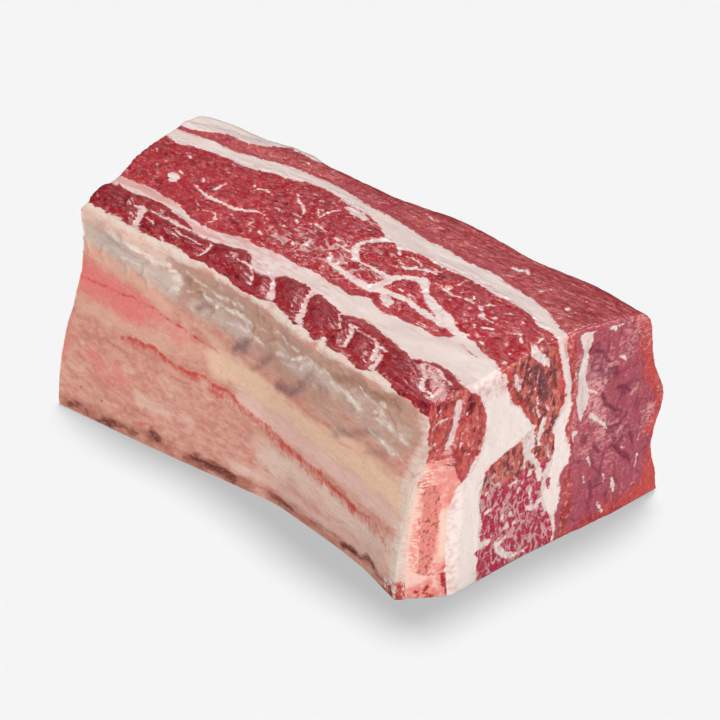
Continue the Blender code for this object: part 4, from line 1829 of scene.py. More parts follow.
@dataclass
class InnerMuscle(Muscle):
    """The heavily marbled muscle in the middle of the block."""

    name: str = "inner_muscle"
    slot: str = "marbled_muscle"
    front: Surface = FAT_TO_INNER
    back: Surface = INNER_TO_SEAM
    crown: float = 0.8
    fine: float = FINER
    swerve: float = 0.14
    front_line: Line | None = INNER_LINE
    back_line: Line | None = SEAM_LINE
    finish: Finish = Finish("marbled_muscle", INNER_LOOK, bump=0.4)
    top_veins: Veins = (
        Vein((1.4, 2.7, 1.4), ((-23, 16.2), (-19.5, 16.1), (-15.3, 16))),
        Vein(0.5, ((-23.5, 14.5), (-24.2, 12), (-24.3, 9), (-24, 7))),
        Vein(0.4, ((-23, 5), (-21.5, 4.2), (-19, 4.2), (-17.5, 4))),
        Vein(0.3, ((-27.5, 10), (-26, 8.5), (-24.3, 7.5))),
        Vein((3.0, 1.9, 1.4, 1.2, 1.8, 2.0, 1.5, 0.8, 0.7, 0.8, 1.5, 2.6), (
            (-3.5, 13.5), (-5, 10.5), (-6.6, 8), (-7, 6), (-6, 4), (-4.3, 2.2), (-2.3, 0.4),
            (0, 0.4), (3, 0.5), (6, 0.3), (8, 0.6), (10, 0.5))),
        Vein(0.6, ((2, 12), (3, 11), (4.2, 10))),
        Vein(1.4, ((-12.3, 3.2),)),
        Vein(1.0, ((-9, 1.9), (-8, 3.4))),
        Vein(0.5, ((-11, 1.8), (-8, 1.4), (-5, 1.4), (-4, 1.2))),
        Vein(0.6, ((-27, 2), (-25.5, 1))),
        Vein(0.4, ((-23.5, 3.8), (-22, 3))),
        Vein(0.4, ((-23, -1.3), (-20.5, -1))),
        Vein(0.3, ((-28, -2.5), (-26, -2.7))),
        Vein(0.4, ((-17.5, -1.5), (-16, -3))),
        Vein(1.2, ((-15.8, -4.2),)),
        Vein(0.3, ((-21, -3.5), (-19.8, -4))),
        Vein(0.6, ((-29, -5), (-28, -6.5))),
        Vein(0.7, ((-19, -6.5), (-17.5, -7))),
        Vein(0.4, ((-24.5, -7.2),)),
        Vein(0.4, ((-29, -9.3), (-27.5, -9.5), (-26, -10.5))),
        Vein(0.4, ((-13, -8.5), (-12, -9.3))),
        Vein((0.6, 0.9, 1.1, 1.4), ((-8.5, -2.5), (-7, -3.5), (-6, -5), (-5, -5.7))),
        Vein(1.5, ((-6, -5.9), (-3, -5.4))),
        Vein(0.5, ((-3.6, -3.8), (-3.3, -4.8))),
        Vein(0.4, ((-4, -2), (-3, -2.4), (-1, -3))),
        Vein((1.5, 1.5, 1.6, 1.8, 2.0, 2.6, 2.6, 2.4), (
            (-5, -5.8), (-2, -6), (0, -6.2), (3, -6.5), (7, -6.7), (10, -6.8), (12, -6.3),
            (14, -5))),
        Vein((2.0, 2.4, 1.6, 1.5, 2.2, 2.8, 2.6, 1.8, 1.8, 2.4, 3.0, 3.2, 4.0, 4.8), (
            (9.3, 0.3), (11.2, 1.3), (12.8, 3.2), (14, 4.7), (15.5, 5.6), (17.5, 5.9), (19, 5),
            (21, 3.2), (23.5, 1.6), (26, 0.4), (29, -0.6), (31.5, -1.4), (34, -2.5), (36, -3.5))),
        Vein((2.4, 3.0), ((11.5, 0), (11.5, -4))),
        Vein((2.8, 1.8, 1.6, 1.5, 1.5, 1.5, 1.5, 1.6, 1.8, 2.6, 2.6, 2.2, 1.4), (
            (13, -4.8), (15, -4.6), (18, -4.3), (20, -3.7), (22, -3.4), (25, -3.7), (28, -4.2),
            (31, -4.6), (34, -4.3), (37, -3.6), (40, -4.6), (44, -5.2), (48, -5.2))),
        Vein((1.6, 3.0, 2.2), ((15, -5.6), (19.2, -7.8), (20.3, -10.5))),
        Vein(0.3, ((14.5, -1.2), (18, -1.2), (22, -1.5))),
        Vein(0.4, ((31.5, -8.4), (35, -8), (38, -8))),
        Vein(0.3, ((31.5, -9.3), (36, -9.1), (40, -8.8))),
        Vein((0.9, 1.6, 1.2, 0.8, 0.7, 0.7, 0.5), (
            (9, 6.7), (10.5, 7), (11.5, 8.3), (13, 9.2), (14.5, 9.8), (15.5, 10.5), (17, 10.8))),
        Vein(0.4, ((7, 11.5), (9, 11.3), (11, 11.3), (12, 10.6))),
        Vein(0.3, ((13, 9.5), (15, 10.6), (16.5, 11.5))),
        Vein(0.3, ((14.5, 12), (17.5, 12.5))),
        Vein(0.3, ((25, 14.5), (25, 11))),
        Vein(0.4, ((5.5, 7.8), (8, 7.9), (9.5, 7.6))),
        Vein(0.4, ((20.5, 7.3), (23, 7.4), (25, 7.2), (28, 6.6), (29.5, 7.8), (31, 8), (32.5, 8.2),
                   (35, 8), (36.8, 8.2), (38, 7), (39.5, 6), (41, 5), (44, 5))),
        Vein(0.6, ((24.8, 7.5), (24.7, 8.8), (24.3, 9.3))),
        Vein(0.3, ((32.3, 8.4), (32.5, 9.6), (31.5, 10.3))),
        Vein(0.5, ((36.6, 8), (36.8, 9.5), (36.8, 10.4), (38.3, 10.8))),
        Vein(0.3, ((39, 5.5), (40, 4.5), (41.5, 4.2))),
        Vein(0.3, ((50, 5), (51, 5.8), (52, 6.9), (53, 6), (54.5, 4.6), (55.5, 3.8), (58, 3.8))),
        Vein(0.3, ((57, 9.8), (57.5, 8), (58, 6.8))),
        Vein((1.2, 2.0, 2.4), ((58, 5.5), (60, 4), (62, 2.5))),
        Vein(0.6, ((44, 1.5), (45, 2.3), (46, 3))),
        Vein(0.6, ((41, 1.2), (42.5, 0.4))),
        Vein(0.9, ((42.7, 7),)),
        Vein(0.6, ((48.7, 10.8),)),
        Vein(0.5, ((37.5, -1.5), (38.5, -1.2))),
        Vein(0.6, ((43.5, -3.5), (44.5, -3))),
        Vein(0.6, ((46, -1.5), (46.8, -0.8))),
        Vein(0.7, ((48, -3), (50, -3.6))),
        Vein(0.8, ((57, -1.8),)),
        Vein(1.2, ((58.8, -5.5),)),
        Vein(0.6, ((-54.5, 1), (-54.3, -2), (-54, -4))),
        Vein((0.5, 0.8, 1.0, 1.2, 0.9, 0.8, 1.1, 0.9, 0.8, 0.7, 0.6, 0.6, 0.5), (
            (-59, -6.2), (-55, -7), (-53.5, -7.3), (-51, -7.2), (-47, -6.6), (-45, -6.4),
            (-43.5, -6.5), (-42, -6), (-40.5, -5), (-39, -4), (-38, -3), (-36.5, -2.6),
            (-35, -2.8))),
        Vein(0.6, ((-48, -13.3), (-46.5, -12.5), (-45, -11.7), (-43.5, -12), (-42.5, -13),
                   (-41.3, -14), (-41.8, -15.5))),
        Vein(0.4, ((-43.5, -12), (-42.5, -10.8))),
        Vein((2.2, 2.6, 2.2), ((-67.8, -7), (-66, -7.4), (-65.7, -8.4))),
        Vein(0.4, ((-68, -4.3), (-66.5, -4.5))),
        Vein(0.6, ((-60.5, -2.3), (-59.5, -3.2))),
        Vein(0.4, ((-73, 3), (-71.5, 2.3))),
        Vein(0.6, ((-82, -0.8), (-81, -1.5))),
        Vein(0.5, ((-46.3, 3.5), (-46, 5), (-45, 6.1), (-43.5, 6.3), (-40.8, 6))),
        Vein(0.3, ((-48.5, 6), (-47.8, 5))),
        Vein(0.6, ((-34.5, -6.5), (-34.3, -8), (-33.5, -9.5))),
        Vein(0.5, ((-32.8, -3), (-32, -3.5))),
        Vein(0.6, ((-29.3, -5.7),)),
        Vein(0.4, ((-37.5, 11), (-35.5, 9.8), (-34, 8.8), (-32, 8.2), (-30, 7), (-28.5, 5.5))),
        Vein(0.5, ((-58.3, 4.8),)),
    )
    end_veins: Veins = (
        Vein((0.9, 1.2, 1.5), ((-4.7, 57.3), (-4, 55), (-3.3, 53))),
        Vein((2.4, 2.2, 1.8, 1.0), ((0.5, 64), (2.7, 60.3), (5, 57.5), (6.8, 55.5))),
        Vein(0.6, ((2.3, 50.7), (2.5, 49.9))),
        Vein(0.6, ((3, 47.3), (3.7, 45.3))),
        Vein(0.6, ((3, 44.7), (4.3, 41.3))),
        Vein(0.5, ((8.3, 48), (9.7, 46))),
        Vein(0.6, ((6.1, 43.9), (7.6, 41.7))),
        Vein((1.2, 1.8, 1.2), ((4.8, 35), (5.3, 37), (6, 39.5))),
        Vein(0.6, ((3.3, 37), (3.7, 35), (4.3, 33))),
        Vein(0.7, ((7.5, 29.5), (8.3, 27))),
        Vein((4.4, 4.2, 3.0), ((0.5, 37), (0.7, 34.5), (0.3, 32.8))),
        Vein((1.8, 1.5, 1.5, 1.6), ((0.6, 31.3), (3.5, 28), (4.5, 25), (5, 22.5))),
        Vein(1.6, ((-14, 20.3), (-11, 20.3))),
        Vein(1.3, ((-9.8, 27.5),)),
        Vein(1.2, ((-13.7, 26.2),)),
        Vein(1.5, ((-6, 25), (-3.3, 25))),
        Vein(1.7, ((-0.5, 30.5), (-0.5, 27.8))),
        Vein(1.8, ((1.6, 25.2),)),
        Vein(1.4, ((-5, 15.8),)),
        Vein(1.2, ((-8, 16.3),)),
        Vein(1.0, ((-2.3, 22),)),
        Vein(1.4, ((-3.3, 12.3),)),
        Vein(1.0, ((-6, 13.3),)),
        Vein(0.8, ((-1, 23.5),)),
        Vein((1.8, 1.5), ((-16.5, 11.1), (-12.7, 11.1))),
        Vein((1.4, 1.8, 1.8, 1.7, 1.3), ((-10, 9), (-9, 7), (-7.5, 5), (-5, 3), (-3, 2))),
        Vein(0.6, ((-3, 2.1), (0, 2), (2, 2.5))),
        Vein(1.2, ((-8.7, 9), (-5.7, 9.3))),
        Vein(0.8, ((-8.5, 11.5), (-7, 12.5), (-5.5, 11.7))),
        Vein((1.4, 1.6, 1.8), ((1, 15), (4, 14), (7, 15.5))),
        Vein(0.7, ((1.8, 22), (1.9, 18.5), (2.5, 15))),
    )

    def rim(self) -> Array:
        """Bright streaks on the far top, and a broad bright rim round the upper lobe of the end.

        Returns:
            The share at each point.
        """
        streak = Stain(0.7, 4, 0.5, ((-52.6, 12), (-52, 4), (-52.2, -5)))
        upper = smoothstep(38, 42, self.ends[:, 1])
        lobe = 0.8 * fade(2.6, self.depth() - 0.3) * upper
        return mix(streak.share(self.tops), lobe, self.cut_end())

    def warm(self) -> Array:
        """The upper lobe of the cut end and the top of the lower one have browned."""
        return self.lobe_tones()["warm"]

    def heart(self) -> Array:
        """The heart of the upper lobe has darkened most, and a spot of the lower one.

        Returns:
            The share at each point.
        """
        spots = (
            Stain(2.2, 4.2, 0.75, ((2.5, 56), (4.5, 51), (5.5, 47))),
            Stain(1.2, 2.5, 0.45, ((-3, 50), (0, 45.5))),
            Stain(1.0, 1.5, 0.7, ((-5.2, 30),)),
            Stain(1.2, 3, 0.35, ((6, 36), (7.3, 31))),
        )
        return share_of(spots, self.ends) * self.cut_end()

    def marbled(self) -> Array:
        """Most flecked in the middle of the length and low on the cut end.

        Returns:
            The share at each point.
        """
        along = fade(22, np.abs(self.tops[:, 0] + 12) - 12)
        low = fade(12, self.ends[:, 1] - 22)
        return mix(0.25 + 0.5 * along, 0.4 + 0.6 * low, self.cut_end())

    def netted(self) -> Array:
        """The fat shows as a net low on the cut end, and faintly in the middle of the top.

        Returns:
            The share at each point.
        """
        low = fade(10, self.ends[:, 1] - 24)
        patch = Stain(5, 9, 0.75, ((-20, -4), (-8, 0), (2, -3)))
        return mix(0.1 + patch.share(self.tops), 0.1 + 0.8 * low, self.cut_end())

    def marks(self) -> dict[str, Array]:
        """Those of the muscle, and where it is crimson on the cut end."""
        return {**super().marks(), "tinted": self.lobe_tones()["tinted"]}


@dataclass
class OuterMuscle(Muscle):
    """The smooth, lean muscle on the side of the back."""

    name: str = "outer_muscle"
    slot: str = "outer_muscle"
    front: Surface = SEAM_TO_OUTER
    back: Surface = BACK_FACE
    crown: float = 0.5
    hidden: tuple[Side, ...] = (Side.FRONT,)
    bundle: Triple = (7.0, 2.0, 2.0)
    bundle_depth: float = 0.14
    front_line: Line | None = OUTER_LINE
    back_line: Line | None = Line(top=CAP_LINE.top)
    finish: Finish = Finish("lean_outer_muscle", OUTER_LOOK, bump=0.35)
    crease_depth: float = 0.55
    wave_depth: float = 0.35
    swell_depth: float = 0.3
    core_back: Profile = Profile(
        (0, 40), (5, 41.5), (8, 43.2), (12, 42), (15, 43.8), (20, 42), (25, 43.5), (30, 44.2),
        (35, 42), (40, 42.4), (45, 40), (50, 39.4), (55, 37), (62, 36),
    )
    top_veins: Veins = (
        Vein(0.8, ((-47.9, 24), (-45.8, 23.5))),
        Vein(0.8, ((-6.6, 29.5), (-2.4, 28.5))),
        Vein(0.8, ((28.2, 27.2), (30.5, 27.7), (31.6, 29), (33.2, 28.2))),
        Vein(0.6, ((41, 24.3), (42.6, 27.2))),
        Vein(0.9, ((52, 23.5),)),
    )
    end_veins: Veins = (
        Vein((1.6, 2.9, 4.0, 3.8, 2.8, 2.1, 2.3, 3.2, 3.6, 4.2, 4.4, 3.6, 1.6, 0.4), (
            (19, 62), (19.6, 60), (20.4, 58), (20.7, 56), (20.4, 54), (20.1, 52), (19.9, 49),
            (19.4, 46), (19.5, 43), (19.7, 41), (19.7, 39), (19.5, 37), (19, 35), (18.9, 33.3))),
        Vein(0.8, ((21.5, 40.7), (23, 40.6), (24.5, 39.4))),
        Vein(1.4, ((19.5, 60), (21, 59), (23, 58.4))),
        Vein(1.4, ((22.5, 58.4), (23.5, 60), (25, 60), (27, 59.2), (28.5, 57.8), (30, 56.6),
                   (30.5, 55.6))),
        Vein(0.8, ((31, 58), (32, 56.5), (34, 57.2), (35.5, 56))),
        Vein(0.4, ((15.3, 48.3), (16.8, 48.5), (18, 47.3))),
        Vein((0.9, 1.2, 1.0, 0.8, 0.6, 0.4), ((22.5, 33.7), (24, 32), (25.5, 30.3), (27, 28.9),
                                              (28.5, 27.5), (29.5, 26))),
        Vein(0.9, ((33, 46.7), (34, 46.2), (35, 45.3))),
        Vein(1.2, ((32, 9.5), (32.5, 8), (32.7, 6), (33, 5.2))),
        Vein(0.7, ((27, 4), (28, 2), (29, 0))),
        Vein(1.0, ((41.6, 12.5), (41, 9.5))),
        Vein(0.7, ((41.3, 17.5), (42, 18.5))),
        Vein(0.5, ((22.5, 20.8), (23, 18.7), (24, 17.5))),
        Vein(0.9, ((28.5, 12), (29.3, 9.5))),
        Vein(0.5, ((35, 18), (36, 17.3))),
        Vein(0.5, ((21, 15), (21.5, 13))),
        Vein((2.2, 1.8), ((15.4, 29.2), (17.4, 30.2))),
        Vein((1.6, 0.8), ((16.2, 28.6), (16.2, 26.8))),
    )
    end_creases: Veins = (
        Vein(0.5, ((31, 44), (32.5, 43.2), (33, 41))),
        Vein(0.5, ((25, 23), (26, 21), (27, 19.5))),
        Vein(0.6, ((32, 20), (34, 18), (36, 15), (38, 13), (39, 11.5))),
        Vein(0.5, ((24, 12), (24.5, 10), (25, 6))),
        Vein(0.5, ((25.5, 9.5), (30, 9.5))),
        Vein(0.5, ((38, 21), (39, 19), (39.5, 17))),
        Vein(0.5, ((33, 37), (36, 36), (38, 34))),
        Vein(0.5, ((24, 52), (27, 50.5), (29, 47))),
        Vein(0.5, ((27, 38), (29, 34), (33, 30))),
        Vein(0.5, ((30, 26), (34, 25.5), (37, 28))),
    )

    def seam_gap(self) -> Array:
        """How far each point lies from the seam of fat; the back is open."""
        return self.from_front()

    def core(self) -> Array:
        """The mauve heart of the cut end, within a bright rim.

        Returns:
            The share at each point.
        """
        y, z = self.ends.T
        waver = 2.4 * Grain(24).rough(self.points, 3.5)
        sides = smoothstep(-3.2, 2.2, self.core_back(z) + 1.4 - y + waver) * smoothstep(14, 19.5, y)
        upright = smoothstep(-0.5, 4.5, z + waver) * fade(4, z - 58 + waver)
        return sides * upright * self.cut_end()

    def creased(self) -> Array:
        """How deep in a crease each point of the cut end's heart lies.

        Returns:
            The share at each point.
        """
        drawn = fade(0.7, gap_to(self.end_creases, self.ends + 0.4 * self.moves()))
        fine = Grain(21).creases(self.points, (6, 6, 6)) ** 2
        return np.maximum(drawn, 0.8 * fine) * self.core()

    def moves(self) -> Array:
        """Small sideways moves that keep drawn creases from running too straight."""
        return np.stack([Grain(25).rough(self.points, 2.5), Grain(26).rough(self.points, 2.5)], 1)

    def carving(self) -> Array:
        """Creases in the heart of the cut end, and soft waves over the back.

        Returns:
            The relief at each point.
        """
        waves = self.wave_depth * Grain(22).rough(self.points, (26, 14, 14)) * self.seen(Side.BACK)
        swells = self.swell_depth * Grain(23).rough(self.points, (6, 5, 5)) * self.core()
        return super().carving() - self.crease_depth * self.creased() + waves + swells

    def marks(self) -> dict[str, Array]:
        """Those of the muscle, its creases, which are painted darker as shade, the mauve heart of its
        cut end, and pale specks painted over the cut end as wet highlights.

        Returns:
            The marks by name.
        """
        # Pale specks painted as wet highlights over the cut end, stronger higher up, carried by the
        # frayed mark.
        cloudy = 0.5 + 0.4 * Grain(28).rough(self.points, (9, 6, 4))
        pale = self.cut_end() * cloudy * (0.55 + 0.45 * smoothstep(10, 40, self.ends[:, 1]))
        return {**super().marks(), "crease": self.creased(), "tinted": self.core(), "frayed": pale}

    def rim(self) -> Array:
        """Brighter round the heart of the cut end.

        Returns:
            The share at each point.
        """
        y, z = self.ends.T
        strip = fade(3, y - 18) * fade(10, 50 - z)
        back = smoothstep(34, 39, y) + 0.55 * smoothstep(18, 22, y)
        rims = (1 - self.core()) * np.maximum(np.minimum(back, 1), 0.6 * strip)
        return 0.9 * rims * self.cut_end()

    def warm(self) -> Array:
        """The strip by the seam has browned on the cut end, and the top here and there."""
        on_top = 0.35 + 0.4 * Grain(27).rough(self.points, (14, 8, 8))
        return mix(on_top, fade(3, self.ends[:, 0] - 17), self.cut_end())

    def marbled(self) -> Array:
        """Hardly flecked at all, but finely speckled in the heart of the cut end."""
        return 0.1 + 0.3 * self.core()


@dataclass
class Fat(Layer):
    """A layer of fat between the muscles."""

    head_pink: float = 0.5
    strand_depth: float = 0.1
    strand_sink: float = 0.03
    top_streaks: Veins = ()
    end_streaks: Veins = ()

    def carving(self) -> Array:
        """Soft strands that run along the rib."""
        strands = Grain(31).rough(self.points, (12, 2.2, 2.2))
        return self.strand_depth * strands - self.strand_sink

    def marks(self) -> dict[str, Array]:
        """Where the meat on either side shows, and where the fat is pink.

        Returns:
            The marks by name.
        """
        streaks = self.vein_gap(self.top_streaks, self.end_streaks)
        front = self.drawn_depth(self.front_line, None)
        back = np.minimum(self.drawn_depth(None, self.back_line), streaks)
        gap = np.minimum(front, back)
        patches = 0.5 + 0.7 * Grain(33).rough(self.points, (9, 3, 3))
        pink = 0.7 * fade(1.2, gap) * patches
        head = self.head_pink * smoothstep(50, 57, self.ends[:, 1]) * self.cut_end()
        return {**self.lobe_tones(), "front_gap": front, "back_gap": back, "fat_gap": -gap,
                "pink": np.maximum(pink, head)}


@dataclass
class DeepFat(Fat):
    """The broad band of fat between the rib and the inner muscle."""

    name: str = "deep_fat"
    slot: str = "deep_fat"
    front: Surface = RIB_TO_FAT
    back: Surface = FAT_TO_INNER
    bone_reach: float = 33.5
    front_line: Line | None = RIB_LINE
    back_line: Line | None = INNER_LINE
    finish: Finish = Finish("deep_fat", FatLook(), (("front_gap", RIB_LOOK), ("back_gap", INNER_LOOK)),
                    FIRM, 0.25)
    top_streaks: Veins = (
        Vein(0.4, ((46, -7.5), (50, -8.6), (54, -9))),
    )
    end_streaks: Veins = (
        Vein(0.4, ((-11, 61.5), (-9.5, 59), (-8.6, 57))),
        Vein(0.4, ((-7, 60.5), (-6.6, 58.5))),
    )

    def marks(self) -> dict[str, Array]:
        """Those of the fat; beside the bone no meat shows, and the fat takes its pink.

        Returns:
            The marks by name.
        """
        found = super().marks()
        beside_bone = self.seen(Side.NEAR, Side.FAR) & (self.ends[:, 1] < self.bone_reach)
        found["front_gap"] = np.where(beside_bone, FAR_AWAY, found["front_gap"])
        streaky = 0.7 + 0.6 * Grain(35).rough(self.points, (16, 1.3, 1.3))
        far = streaky * fade(100, self.points[:, 0] + 60)
        by_bone = 0.4 * fade(6, self.from_front()) * beside_bone
        found["pink"] = np.maximum(found["pink"], mix(far, by_bone, self.cut_end()))
        return found


@dataclass
class SeamFat(Fat):
    """The clean seam of fat between the inner and the outer muscle."""

    name: str = "seam_fat"
    slot: str = "seam_fat"
    front: Surface = INNER_TO_SEAM
    back: Surface = SEAM_TO_OUTER
    head_pink: float = 0.9
    front_line: Line | None = SEAM_LINE
    back_line: Line | None = OUTER_LINE
    finish: Finish = Finish("clean_seam_fat", FatLook(),
                    (("front_gap", INNER_LOOK), ("back_gap", OUTER_LOOK)), FIRM, 0.25)
    end_streaks: Veins = (
        Vein((1.2, 2.4, 0.9), ((6.4, 21.5), (8.3, 20), (8.4, 17.6))),
        Vein(0.6, ((6, 24.5), (6.8, 23.3), (7.8, 22.3))),
        Vein(0.6, ((8.7, 8.5), (9.4, 6), (9.2, 3.5), (8, 1.5))),
    )


@dataclass
class FatCap(Fat):
    """The fat over the back at the far end, which thins out to a feather edge."""

    name: str = "fat_cap"
    slot: str = "cap_fat"
    front: Surface = BACK_FACE
    back: Surface = CUTS.cap_back
    near: Surface = CUTS.cap_end
    hidden: tuple[Side, ...] = (Side.FRONT,)
    swell_depth: float = 0.3
    least_gap: float = -2.0
    rim_height: float = 3.0
    rim_slant: float = 0.7
    front_line: Line | None = CAP_LINE
    finish: Finish = Finish("cap_fat", FatLook(white=(236, 222, 214), grey=(228, 208, 200)),
                    (("front_gap", OUTER_LOOK),), FIRM, 0.25)

    def seam_gap(self) -> Array:
        """How far each point lies from the muscle below."""
        return self.from_front()

    def carving(self) -> Array:
        """Soft swells over the back."""
        swells = self.swell_depth * Grain(34).rough(self.points, (14, 9, 9)) * self.seen(Side.BACK)
        return super().carving() + swells * smoothstep(0, 2, self.thickness())

    def thickness(self) -> Array:
        """How thick the cap is at each point."""
        return self.from_front() + self.from_back()

    def marks(self) -> dict[str, Array]:
        """Pinker where it thins out, with the muscle showing past its upper edge as drawn.

        Returns:
            The marks by name.
        """
        found = super().marks()
        found["pink"] = np.maximum(0.4 * found["pink"], 0.9 * fade(1.6, self.thickness()))
        x, y, z = self.points.T
        drawn = np.maximum(beyond(CAP_LINE.top, x, y), self.least_gap) + self.fray()
        drawn = drawn + self.rim_slant * np.maximum(CUTS.height - self.rim_height - z, 0)
        found["front_gap"] = np.clip(drawn, -FAR_AWAY, FAR_AWAY)
        found["fat_gap"] = -found["front_gap"]
        return found


